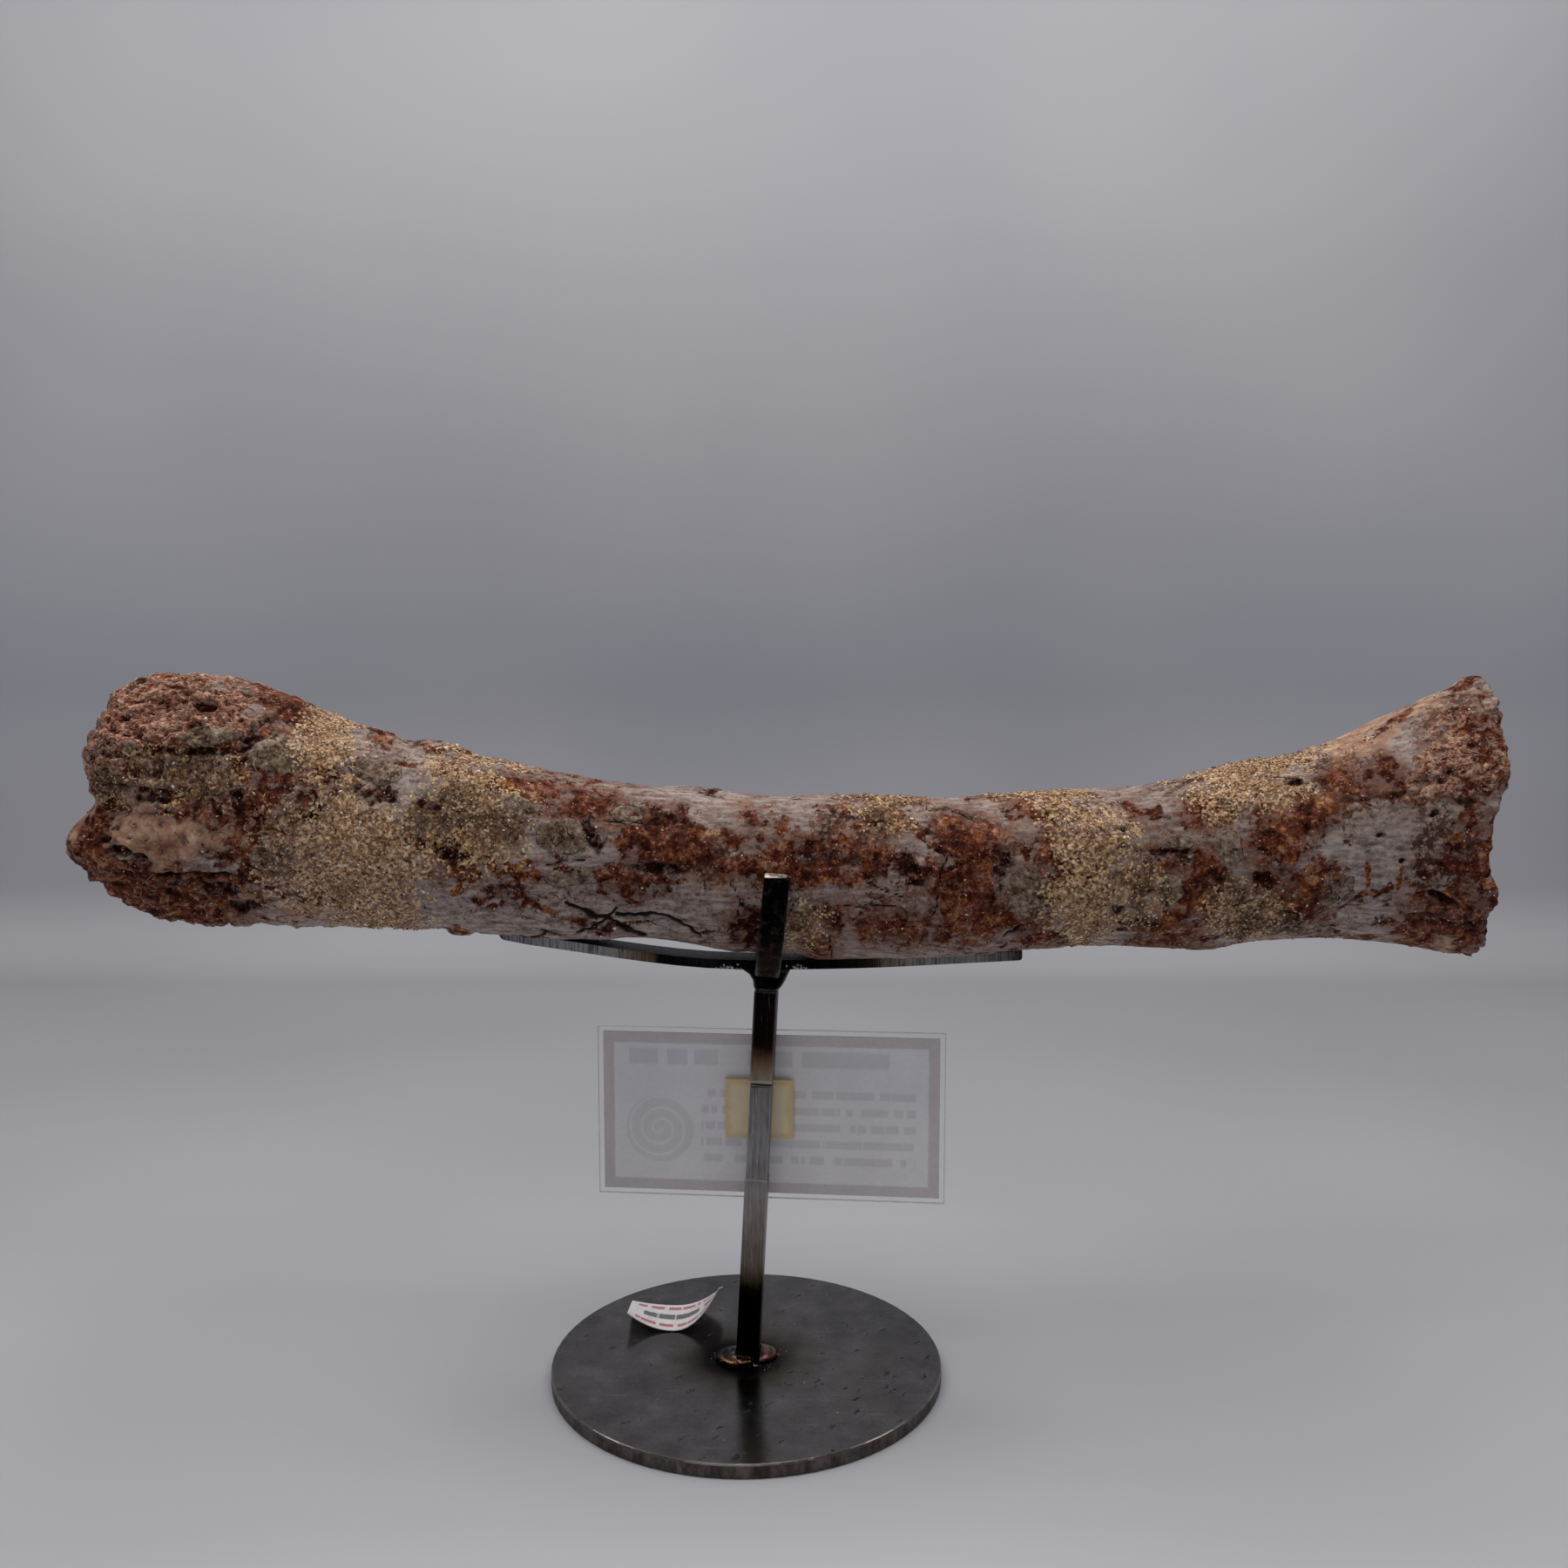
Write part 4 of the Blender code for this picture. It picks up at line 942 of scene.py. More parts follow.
net.vertices.foreach_set("co", (shaped * MM).ravel())
net.update()
shaped_out = normals_of(net)
middle_x = shaped[quads, 0].mean(axis=1)
limits = (-math.inf, *CUTS, math.inf)
lengths = []
for name, low, high in zip(LENGTH_NAMES, limits, limits[1:]):
    used, index = np.unique(quads[(middle_x > low) & (middle_x <= high)], return_inverse=True)
    index = index.reshape(-1, 4)
    sides = np.concatenate([index[:, [i, (i + 1) % 4]] for i in range(4)])
    there = sides @ (len(used), 1)
    and_back = sides @ (1, len(used))
    rim = sides[~np.isin(and_back, there)]
    points, normals, fans = shaped[used], shaped_out[used], []
    for cut, way in ((low, -1), (high, 1)):
        at_cut = rim[abs(points[rim[:, 0], 0] - cut) < RIM_REACH]
        if len(at_cut):
            fans += [(b, a, len(points)) for a, b in at_cut.tolist()]
            points = np.vstack([points, points[at_cut[:, 0]].mean(axis=0)])
            normals = np.vstack([normals, (way, 0, 0)])
    mesh = bpy.data.meshes.new(name)
    mesh.from_pydata((points * MM).tolist(), [], index.tolist() + fans)
    mesh.shade_smooth()
    mesh.normals_split_custom_set_from_vertices(normals.tolist())
    for label, values in {**mix, **halo, "crack": crack, "proud": proud}.items():
        store(mesh, label, np.append(values[used], np.zeros(len(points) - len(used))))
    length = in_scene(name, mesh)
    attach(length, "root")
    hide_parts("femur")
    lengths.append(length)
    print(name, "has", len(index), "squares and", len(fans), "closing triangles")

# %% [markdown]
# ## The fossil's material
# The bone itself is apatite, hard and close, with a dull gloss. What lies on it is iron oxide,
# sandstone of quartz grains, clay-stained slabs and manganese. All are stone, so one shader
# serves, and each finish brings its own colours, grain, roughness and fine relief. The mix at
# each point comes from the skin. A finish's own grain decides the last fraction of a
# millimetre of its edge, so a rust patch ends in grains and not in a blur.

# %% Describe each finish
# Each row: grain in mm, share of loose grains, colours dark to light, roughness, relief in mm,
# how far its grain frays its edge, and how soft that edge is. Where the fraying is negative, the
# finish is a stain: its dark grains reach furthest, and the bone shows through between them.
FINISHES = {
    "pale": (4.0, 0.12, ("6e4432", "98705a", "b49078", "d0b8a4"), 0.60, 0.06, 1.0, 0.45),
    "slab": (2.0, 0.25, ("2c1d14", "655140", "8c7a6a", "b8a898"), 0.75, 0.12, 1.2, 0.11),
    "ochre": (1.6, 0.30, ("2c1208", "6c381a", "9a5e30", "c69460"), 0.80, 0.16, -1.6, 0.25),
    "rust": (2.2, 0.25, ("180302", "431a0f", "703c2a", "b08872"), 0.75, 0.14, -2.0, 0.30),
    "sponge": (1.5, 0.25, ("2c0c06", "6c3828", "a06e5a", "dcbea6"), 0.85, 0.20, 1.6, 0.20),
    "olive": (1.1, 0.45, ("1a0b06", "4e3828", "785e48", "ccb294"), 0.90, 0.24, 1.8, 0.24),
    "sand": (1.1, 0.45, ("3a1e0e", "98724e", "c8a480", "f8e2c6"), 0.90, 0.26, 1.8, 0.24),
    "dark": (1.8, 0.25, ("120302", "2a0b06", "4c2013", "86563f"), 0.75, 0.16, -1.8, 0.32),
}
# Some finishes drift to other colours from place to place: from where the drift starts to where
# it is complete, and the other colours.
DRIFTS = {
    "rust": (0.50, 0.64, ("2a1006", "643018", "925a34", "b88c64")),
    "sand": (0.48, 0.64, ("321a10", "88684e", "b4927a", "f0dcc8")),
    "olive": (0.50, 0.64, ("2c160c", "785438", "aa8460", "e8cfa8")),
    "sponge": (0.48, 0.62, ("34150a", "784a38", "a88068", "dcc4ac")),
}
BONE_LIGHT = ((0.40, "beb0ab"), (0.60, "b6a398"))
BONE_DIM = ((0.40, "5e4a43"), (0.60, "563e32"))
GLOOM_SIZE = 7
GLOOM_SHARE = {"rust": 0.55, "dark": 0.3, "sand": 0.25, "olive": 0.35, "sponge": 0.2, "slab": 0.3}
CRACK_BLACK = "160906"
GRAIN = 0.6
SHADE_PLACES = np.linspace(0.16, 0.86, 4).tolist()
HAIRLINE_CELL = 9
HAIRLINE_WIDTH = 0.16


def fossil_stone():
    """Fossil bone with its crusts: dull stone all over, its colours and grain by finish."""
    material, add, shader, place = blank_material("fossil_bone_with_crust")
    chip, _, chip_distance = grit(add, place, GRAIN)
    crumb = add("SUBTRACT", 1.0, chip_distance)
    tone = speckle(add, place, 15, 3.0)
    drift = speckle(add, place, 5.5, 4.0, None, 0.6)
    streak = speckle(add, place, 1.3, 5.0, (0.25, 1, 1), 0.6, 1.5)
    mottle = speckle(add, place, 3.4, 8.0, None, 0.68, 2.0)
    fine = speckle(add, place, 1.2, 6.0, None, 0.66, 2.2)
    off_mottle = add("SUBTRACT", mottle, 0.5)
    weave = add("ADD", off_mottle, add("SUBTRACT", fine, 0.5))
    gloom = add("SUBTRACT", speckle(add, place, GLOOM_SIZE, 4.0, None, 0.6, 1.8), 0.5)

    # The shell: light where its grain is high, dim where it is low.
    grain = add("between", 0.5, streak, add("between", 0.5, mottle, fine))
    colour = add("mix", add("step", grain, 0.25, 0.72), add("ramp", tone, *BONE_DIM),
                 add("ramp", tone, *BONE_LIGHT))
    # Stain, washed over the shell beside the crusts, and dark spots on it.
    wash = add("Attribute", attribute_name="wash").outputs["Fac"]
    washed = add("MULTIPLY", add("step", add("ADD", wash, weave), 0.36, 0.9), 0.88)
    stain = add("ramp", add("between", 0.5, drift, fine), (0.32, "3e170f"), (0.5, "6b3f2e"),
                (0.66, "946a50"))
    colour = add("mix", washed, colour, stain)
    spots = add("ADD", speckle(add, place, 1.5, 6.0, None, 0.62, 2.0), add("MULTIPLY", wash, 0.25))
    spots = add("step", add("ADD", spots, swing(add, tone, 1.6)), 0.76, 0.94)
    colour = add("mix", add("MULTIPLY", spots, 0.85), colour,
                 add("ramp", drift, (0.4, "301209"), (0.6, "683824")))
    # Seams along the bone, and a web of hairlines in cells of warped sides.
    seam = speckle(add, place, 2.6, 3.0, (0.14, 1, 1), 0.55)
    seam = add("step", add("ABSOLUTE", add("SUBTRACT", seam, 0.5)), 0.014, 0.003)
    seam = add("MULTIPLY", add("MULTIPLY", seam, add("step", mottle, 0.45, 0.75)), 0.65)
    colour = add("mix", seam, colour, "2a120c")
    warped = add("noise", place, 1 / (4 * MM), 3.0).outputs["Color"]
    warped = add("VectorMath", warped, (0.5, 0.5, 0.5), operation="SUBTRACT")
    warped = add("VectorMath", warped, (0.008, 0.008, 0.008), place, operation="MULTIPLY_ADD")
    web = add("cells", warped, 1 / (HAIRLINE_CELL * MM), feature="DISTANCE_TO_EDGE")
    thin = HAIRLINE_WIDTH / HAIRLINE_CELL
    webbed = add("step", web, thin, 0.4 * thin)
    open_part = add("step", add("ADD", tone, add("MULTIPLY", off_mottle, 0.3)), 0.46, 0.56)
    hairline = add("MULTIPLY", add("MULTIPLY", webbed, open_part), 0.75)
    colour = add("mix", hairline, colour, CRACK_BLACK)
    # What the crusts below will need: dust of sand, and the bare strands of spongy bone.
    dust = add("Attribute", attribute_name="dust").outputs["Fac"]
    dusted = add("ADD", add("ADD", dust, add("MULTIPLY", chip, 0.7)), add("MULTIPLY", weave, 0.5))
    dusted = add("MULTIPLY", add("step", dusted, 0.95, 1.2), 0.85)
    grains_of_dust = add("ramp", chip, (0.2, "724e34"), (0.6, "a6825a"), (0.95, "e0c498"))
    strand = add("SUBTRACT", speckle(add, place, 1.5, 3.0, (0.4, 1, 1), 0.6), 0.5)
    strand = add("step", add("ABSOLUTE", strand), 0.028, 0.006)

    roughness = 0.5
    height = add("SUBTRACT", add("MULTIPLY", grain, 0.12), add("MULTIPLY", hairline, 0.1))
    # The crusts, one laid over the other. Each has its own grain, and ends in it.
    for name, (size, loose, colours, rough, relief, fraying, softness) in FINISHES.items():
        share = add("Attribute", attribute_name=name).outputs["Fac"]
        soft = speckle(add, place, size, 8.0, None, 0.64, 2.1)
        grain = add("between", loose, soft, chip)
        shade = add("ADD", grain, add("MULTIPLY", gloom, GLOOM_SHARE.get(name, 0)))
        crust = add("ramp", shade, *zip(SHADE_PLACES, colours))
        if name in DRIFTS:
            begin, complete, others = DRIFTS[name]
            crust = add("mix", add("step", drift, begin, complete), crust,
                        add("ramp", shade, *zip(SHADE_PLACES, others)))
        if name == "sponge":
            crust = add("mix", add("MULTIPLY", strand, 0.55), crust, "e4c8b4")
        if name == "slab":
            crust = add("mix", add("MULTIPLY", webbed, 0.8), crust, CRACK_BLACK)
        ragged = add("ADD", swing(add, grain, 0.5 * fraying), add("MULTIPLY", weave, 0.35))
        inside = add("step", add("ADD", share, ragged), 0.5 - softness, 0.5 + softness)
        bump = add("MULTIPLY", add("between", loose, soft, crumb), relief)
        colour = add("mix", inside, colour, crust)
        roughness = add("between", inside, roughness, rough)
        height = add("between", inside, height, bump)
        if name == "slab":
            # Round each slab the rim is painted dark: dirt and a painted shadow along its edge.
            rim = add("MULTIPLY", band(add, share, 0.14, 0.32, 0.4, 0.58), add("step", weave, -0.3, 0.1))
            colour = add("mix", add("MULTIPLY", rim, 0.9), colour, "1e0b07")
        if name == "rust":
            colour = add("mix", dusted, colour, grains_of_dust)

    # Dirt and painted shade in what is low, wear and a painted highlight on what is high, and black in the
    # cracks.
    proud = add("Attribute", attribute_name="proud").outputs["Fac"]
    grime_and_painted_shade = add("MULTIPLY", add("step", proud, -0.05, -0.5), 0.9)
    colour = add("mix", grime_and_painted_shade, colour, add("tint", 1.0, colour, "6e3c30"))
    wear_and_painted_highlight = add("MULTIPLY", add("step", proud, 0.08, 0.5), 0.4)
    colour = add("mix", wear_and_painted_highlight, colour, add("mix", 1.0, colour, "6e5c50", blend_type="ADD"))
    split = add("Attribute", attribute_name="crack").outputs["Fac"]
    colour = add("mix", add("step", split, 0.35, 0.95), colour, CRACK_BLACK)
    raised = add("Bump", {"Height": height, "Distance": MM, "Strength": 1.0})
    fill(shader, {"Base Color": colour, "Roughness": roughness, "Normal": raised, "IOR": 1.55,
                  "Specular IOR Level": 0.08})
    return material


stone = fossil_stone()
for length in lengths:
    length.data.materials.append(stone)
print("The stone has", len(stone.node_tree.nodes), "nodes")

# %% [markdown]
# ## Loose grains
# Sandstone sheds quartz and splinters of bone: pale angular grains sit all over the crusts, up
# to a millimetre wide. Scattered instances would be lost in an exported model, so the grains
# are real joined meshes. Each is an octahedron, squashed, turned and sunk by a third. Splinters
# lie flat on the skin and quartz any way it likes. The seed is fixed, so every run scatters
# the same grains.

# %% Scatter the grains
GRAIN_SEED = 7
GRAINS_ON = {"sand": 1, "olive": 0.75, "rust": 0.14, "sponge": 0.12, "dark": 0.17, "ochre": 0.2}
GRAINS_IN_DUST = 0.15
STRAY_GRAINS = 0.006
CORNERS = np.array([(1, 0, 0), (-1, 0, 0), (0, 1, 0), (0, -1, 0), (0, 0, 1), (0, 0, -1)], float)
SIDES = np.array([(0, 2, 4), (2, 1, 4), (1, 3, 4), (3, 0, 4), (2, 0, 5), (1, 2, 5), (3, 1, 5), (0, 3, 5)])


def scatter(name, count, likely, least, most, spread, seed, thickness):
    """Joined grains, least to most mm across, most of them where likely is high."""
    random = np.random.default_rng(seed)
    chance = np.clip(likely, 0, None)
    spots = random.choice(len(shaped), count, p=chance / chance.sum())
    half = (least + (most - least) * random.random(count) ** spread) / 2
    upright = shaped_out[spots] + random.normal(size=(count, 3)) * (0.35 if thickness < 0.5 else 2)
    upright /= np.linalg.norm(upright, axis=1)[:, None]
    first = np.cross(upright, random.normal(size=(count, 3)))
    first /= np.linalg.norm(first, axis=1)[:, None]
    turns = np.stack([first, np.cross(upright, first), upright], axis=2)
    stretch = half[:, None] * random.uniform(0.6, 1.2, (count, 3)) * (1, 0.75, thickness)
    local = CORNERS[None] * stretch[:, None]
    bodies = np.einsum("nij,nkj->nki", turns, local)
    shift = random.uniform(-0.5, 0.5, (count, 3))
    shift -= shaped_out[spots] * np.sum(shift * shaped_out[spots], axis=1)[:, None]
    lift = (0.25 * half * thickness + 0.03)[:, None]
    centres = shaped[spots] + shift + shaped_out[spots] * lift
    sides = SIDES[None] + (np.arange(count) * len(CORNERS))[:, None, None]
    mesh = bpy.data.meshes.new(name)
    points = (bodies + centres[:, None]).reshape(-1, 3) * MM
    mesh.from_pydata(points.tolist(), [], sides.reshape(-1, 3).tolist())
    store(mesh, "shade", np.repeat(random.random(count), len(CORNERS)))
    store(mesh, "rusty", np.repeat(mix["rust"][spots] + mix["dark"][spots], len(CORNERS)))
    piece = in_scene(name, mesh)
    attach(piece, "root")
    print(name, "has", count, "grains")
    return piece


sandy = sum(share * mix[name] for name, share in GRAINS_ON.items())
sandy = sandy + GRAINS_IN_DUST * halo["dust"] ** 2 + STRAY_GRAINS
sandy = sandy * np.clip(0.8 + 0.4 * clumps, 0.1, 2) * smooth_step(0.3, 0.9, room)
fine_grains = scatter("sand_grains", 21000, sandy, 0.26, 0.58, 1.5, GRAIN_SEED, 0.8)
splinters = scatter("bone_splinters", 8500, sandy, 0.5, 1.2, 2.2, GRAIN_SEED + 1, 0.3)

quartz, add, shader, _ = blank_material("quartz_and_bone_grains")
shade = add("Attribute", attribute_name="shade").outputs["Fac"]
rusty = add("Attribute", attribute_name="rusty").outputs["Fac"]
clean = add("ramp", shade, (0.0, "30180e"), (0.3, "74523c"), (0.62, "a68a70"), (0.85, "d8c2aa"),
            (1.0, "fbf0e0"))
stained = add("ramp", shade, (0.0, "150402"), (0.45, "54240f"), (0.76, "8a5236"), (0.86, "dcc2a2"))
colour = add("mix", rusty, clean, stained)
fill(shader, {"Base Color": colour, "Roughness": 0.55, "Specular IOR Level": 0.3})
for piece in (fine_grains, splinters):
    piece.data.materials.append(quartz)

# %% [markdown]
# ## Struts of spongy bone
# Inside its shell a bone is a fine net of struts. Where the knee end lost its shell, some of
# them lie bare as pale threads a quarter of a millimetre thick. Each is a thin three-sided
# tube that walks over the skin, mostly along the bone, and ends in a point.

# %% Lay the struts
STRUT_COUNT = 520
STRUT_STEPS = 7
STRUT_STEP = 0.9
STRUT_RADIUS = 0.15
STRUT_SEED = 11
STRUT_TURN = 0.30
STRUT_LIFT = 0.12

knee = np.flatnonzero((middle_x < -104) | (middle_x > 166))
surface = BVHTree.FromPolygons(shaped.tolist(), quads[knee].tolist())
random = np.random.default_rng(STRUT_SEED)
spongy = mix["sponge"] + 0.08 * mix["rust"] * ends
starts = random.choice(len(shaped), STRUT_COUNT, p=spongy / spongy.sum())
points, faces = [], []
for start in starts:
    here = Vector(shaped[start])
    normal = Vector(shaped_out[start])
    heading = Vector((random.choice((-1.0, 1.0)), random.normal() * 0.5, random.normal() * 0.45 + 0.15))
    turn = random.normal() * STRUT_TURN
    steps = int(random.integers(3, STRUT_STEPS + 1))
    first = len(points)
    for i in range(steps):
        heading = (heading - normal * heading.dot(normal)).normalized()
        aside = heading.cross(normal)
        radius = STRUT_RADIUS * (1 - abs(2 * i / (steps - 1) - 1) ** 3 * 0.85)
        for angle in (90, 210, 330):
            a = math.radians(angle)
            up = STRUT_LIFT + radius * math.sin(a)
            points.append(here + normal * up + aside * radius * math.cos(a))
        ahead = surface.find_nearest(here + heading * STRUT_STEP)
        here, normal = ahead[0], ahead[1]
        heading = heading + aside * turn
    for i in range(steps - 1):
        a = first + 3 * i
        faces += [(a + j, a + (j + 1) % 3, a + 3 + (j + 1) % 3, a + 3 + j) for j in range(3)]
    last = len(points) - 3
    faces += [(first + 2, first + 1, first), (last, last + 1, last + 2)]
strut_mesh = bpy.data.meshes.new("bone_struts")
strut_mesh.from_pydata([p * MM for p in points], [], faces)
strut_mesh.shade_smooth()
struts = in_scene("bone_struts", strut_mesh)
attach(struts, "root")

bare_bone, add, shader, place = blank_material("bare_spongy_bone")
worn = speckle(add, place, 2.2, 4.0, None, 0.6, 1.6)
colour = add("ramp", worn, (0.2, "74402f"), (0.45, "a87864"), (0.8, "dcc6b2"))
fill(shader, {"Base Color": colour, "Roughness": 0.7, "Specular IOR Level": 0.2})
strut_mesh.materials.append(bare_bone)
print("There are", STRUT_COUNT, "struts with", len(faces), "faces")

# %% [markdown]
# ## Steel
# The stand is mild steel, cut, bent and welded, and left as it came. Rolling leaves a thin
# blue-black skin of iron oxide on it, shears leave bright striped edges, and the torch leaves
# bands of black, bronze and grey. A metal's shader shows what it mirrors, so its base colour
# is how much of that it gives back, and its roughness how sharply.

# %% The scratches that all bars share
def scratches(add, place, size, stretch):
    """Fine lines along one axis, from 0 to 1."""
    return speckle(add, place, size, 3.0, stretch, 0.6, 2.2)


def finish_steel(add, shader, colour, roughness, height=None, depth=0.02):
    """Gives a metal's shader its colour, its roughness and a fine relief, depth mm deep."""
    fill(shader, {"Base Color": colour, "Roughness": roughness, "Metallic": 1.0})
    if height is not None:
        fill(shader, {"Normal": add("Bump", {"Height": height, "Distance": depth * MM, "Strength": 1.0})})


def dress(name, material):
    """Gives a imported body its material."""
    nodes[name].data.materials.clear()
    nodes[name].data.materials.append(material)


print("Steel helpers are ready")

# %% [markdown]
# ## The round plate
# The plate was cut from rolled sheet and rubbed with oil: a dark satin mirror, so the post and
# the label show in it as dark shapes. It has faint clouds a centimetre wide, small pits that
# gather on its right half, hair scratches, and a painted highlight along its rim, brightest
# towards the front. Round the foot the weld's heat burnt a black ring with a brown and olive halo.

# %% Give the plate its satin
PLATE_RADIUS = 50.8
PLATE_TOP = 3.6
BURN_CENTRE = (-1.2, -0.6)
BURN_REACH = 24
PIT_SPACING = 1.9
GLINT_SPACING = 3.1


def satin_plate():
    """Oiled rolled steel: a soft dark mirror with pits, scratches, a painted rim highlight and a burn ring.
    """
    material, add, shader, place = blank_material("oiled_rolled_steel_plate")
    x, y, z = axes(add, place)
    cloud = speckle(add, place, 9, 6.0, None, 0.6, 1.8)
    fine = speckle(add, place, 0.9, 5.0, None, 0.65, 1.8)
    colour = add("ramp", add("between", 0.35, cloud, fine), (0.22, "585554"), (0.52, "6e6b6a"),
                 (0.8, "848180"))
    rust_veil = add("step", speckle(add, place, 22, 4.0, None, 0.6, 1.8), 0.55, 0.85)
    colour = add("mix", add("MULTIPLY", rust_veil, 0.35), colour, "6f625a")

    # Pits, stretched across the plate, gather where the noise is high and towards the right.
    bent = add("noise", place, 1 / (5 * MM), 2.0).outputs["Color"]
    bent = add("VectorMath", bent, (0.004, 0.004, 0.0), place, operation="MULTIPLY_ADD")
    dashed = add("Mapping", {"Vector": bent, "Rotation": (0, 0, -0.7), "Scale": (1, 2.6, 1)},
                 vector_type="TEXTURE")
    rare, size, from_pit = grit(add, dashed, PIT_SPACING)
    patchy = add("ADD", add("MULTIPLY", speckle(add, place, 9, 3.0), 2.4), add("DIVIDE", x, 110))
    spread = add("ADD", rare, add("MULTIPLY", patchy, 0.5))
    pits = add("ADD", add("SUBTRACT", from_pit, add("MULTIPLY", size, 0.24)), swing(add, fine, 0.5))
    pits = add("MULTIPLY", add("step", pits, 0.16, 0.02), add("step", spread, 1.24, 1.46))
    colour = add("mix", add("MULTIPLY", pits, 0.8), colour, "262425")
    _, chance, from_glint = grit(add, place, GLINT_SPACING)
    glints = add("MULTIPLY", add("step", from_glint, 0.09, 0.04), add("step", chance, 0.94, 0.95))
    colour = add("mix", glints, colour, "d8d4d0")
    hairs = add("step", scratches(add, place, 0.5, (0.04, 1, 1)), 0.88, 1.0)
    colour = add("mix", add("MULTIPLY", hairs, 0.6), colour, "a8a6a6")

    # The burn ring goes by the distance from the foot.
    ragged = swing(add, speckle(add, place, 4, 6.0, None, 0.62), 4.0)
    burn = add("DIVIDE", add("ADD", away_from(add, x, y, BURN_CENTRE, 1.15), ragged), BURN_REACH)
    ring = add("ramp", burn, (0.0, "100806"), (0.34, "050102"), (0.395, "0a0303"), (0.42, "301c12"),
               (0.46, "6a5642"), (0.52, "94846e"), (0.66, "ccc4b4"), (0.95, "ffffff"))
    colour = add("tint", 1.0, colour, ring)

    # The saw left its grain on the wall. Above it, the rim gets a painted highlight, brightest towards the
    # front.
    reach = away_from(add, x, y, (0, 0))
    below = add("step", z, PLATE_TOP - 0.3, PLATE_TOP - 0.55)
    wall = add("MULTIPLY", add("step", reach, PLATE_RADIUS - 0.25, PLATE_RADIUS - 0.05), below)
    saw = speckle(add, place, 2.6, 6.0, (1, 1, 0.5), 0.65, 2.0)
    colour = add("mix", wall, colour, add("ramp", saw, (0.2, "3e3937"), (0.5, "58514e"), (0.85, "766d69")))
    rim = add("MULTIPLY", add("step", reach, PLATE_RADIUS - 0.75, PLATE_RADIUS - 0.45),
              add("SUBTRACT", 1.0, below))
    worn = add("ADD", speckle(add, place, 6, 5.0, None, 0.65, 2.2), add("DIVIDE", y, -90))
    rim = add("MULTIPLY", rim, add("step", worn, 0.35, 1.15))
    colour = add("mix", rim, colour, "908882")

    roughness = add("between", cloud, 0.15, 0.22)
    roughness = add("between", add("step", burn, 0.3, 0.6), 0.5, roughness)
    roughness = add("between", wall, roughness, 0.5)
    height = add("SUBTRACT", add("MULTIPLY", fine, 0.1), pits)
    finish_steel(add, shader, colour, roughness, height, 0.05)
    return material


dress("base_disc", satin_plate())
print("The plate has its satin, pits and burn ring")

# %% [markdown]
# ## The post
# Heat from the two welds ran into the post from both ends. What it reached lost its grey
# skin: next to the weld it is black, then bronze, and grey again where it stayed cool. So the
# colour goes by the height over the floor. Straightening it in a vice left scratches along it.

# %% Give the post its bands
POST_HEIGHT = 110
JOINT = 77
LEDGE_BELOW = 70
POST_BANDS = ((0, "0a0706"), (21, "070504"), (23.5, "1c1710"), (26, "554a38"), (30, "7a7164"),
              (38, "928781"), (50, "a09a97"), (53, "8f8c8c"), (60, "99979a"), (73, "8d8a88"),
              (77, "8c8680"), (79.5, "9a8c76"), (82.5, "806855"), (85, "5a4634"), (87.5, "1d1110"),
              (98, "150e0e"), (105, "0a0808"))


def torched_bar():
    """Mild steel bar, banded by the torch and scratched along its length."""
    material, add, shader, place = blank_material("torch_banded_steel_bar")
    z = axes(add, place)[2]
    cloud = speckle(add, place, 3.5, 6.0, (1, 1, 0.4), 0.65, 1.8)
    level = add("DIVIDE", add("ADD", z, swing(add, cloud, 2.4)), POST_HEIGHT)
    bands = add("ramp", level, *[(height / POST_HEIGHT, code) for height, code in POST_BANDS])
    line = scratches(add, place, 0.45, (1, 1, 0.05))
    value = add("between", 0.5, cloud, line)
    shade = add("ramp", value, (0.2, "a2a2a2"), (0.55, "e6e6e6"), (0.85, "ffffff"))
    colour = add("tint", 1.0, bands, shade)
    # Painted shade: faces that look upward, below the joint, are painted darker, so they don't show lit.
    upward_face_shade = add("MULTIPLY", add("step", facing(add, "Z"), 0.3, 0.7), add("LESS_THAN", z, LEDGE_BELOW))
    colour = add("mix", add("MULTIPLY", upward_face_shade, 0.8), colour, "3a3634")
    bright = add("MULTIPLY", add("step", line, 0.8, 1.05), add("step", z, 24, 30))
    colour = add("mix", add("MULTIPLY", bright, 0.3), colour, "c8bfb8")
    # The upper bar's rounded lower rim gets a painted highlight, and the joint under it a painted shadow.
    rim = band(add, z, *(JOINT + up for up in (0.3, 0.7, 1.4, 2.0)))
    colour = add("mix", add("MULTIPLY", rim, 0.55), colour, "b8aea4")
    shadow = band(add, z, *(JOINT + up for up in (-0.3, 0.0, 0.35, 0.6)))
    colour = add("mix", add("MULTIPLY", shadow, 0.7), colour, "1e1a18")
    # Painted highlight: the corners above the black band are painted lighter.
    corner = add("MULTIPLY", add("step", corner_angle(add, 0.5), 0.985, 0.86),
                 add("MULTIPLY", add("step", z, 26, 32), 0.5))
    colour = add("mix", corner, colour, "c9c4c0")
    finish_steel(add, shader, colour, add("between", value, 0.32, 0.52), value, 0.03)
    return material


bar = torched_bar()
dress("lower_post", bar)
dress("upper_post", bar)
print("The post has", len(POST_BANDS), "bands of colour")

# %% [markdown]
# ## The two arms
# The arms were sheared from black sheet. Their wide faces keep the rolling skin, and the thin
# edge that faces the camera shows the shear's upright stripes in bright grey. Towards the
# knot the torch turned that edge olive and then black. The stripes are a third of a
# millimetre apart.

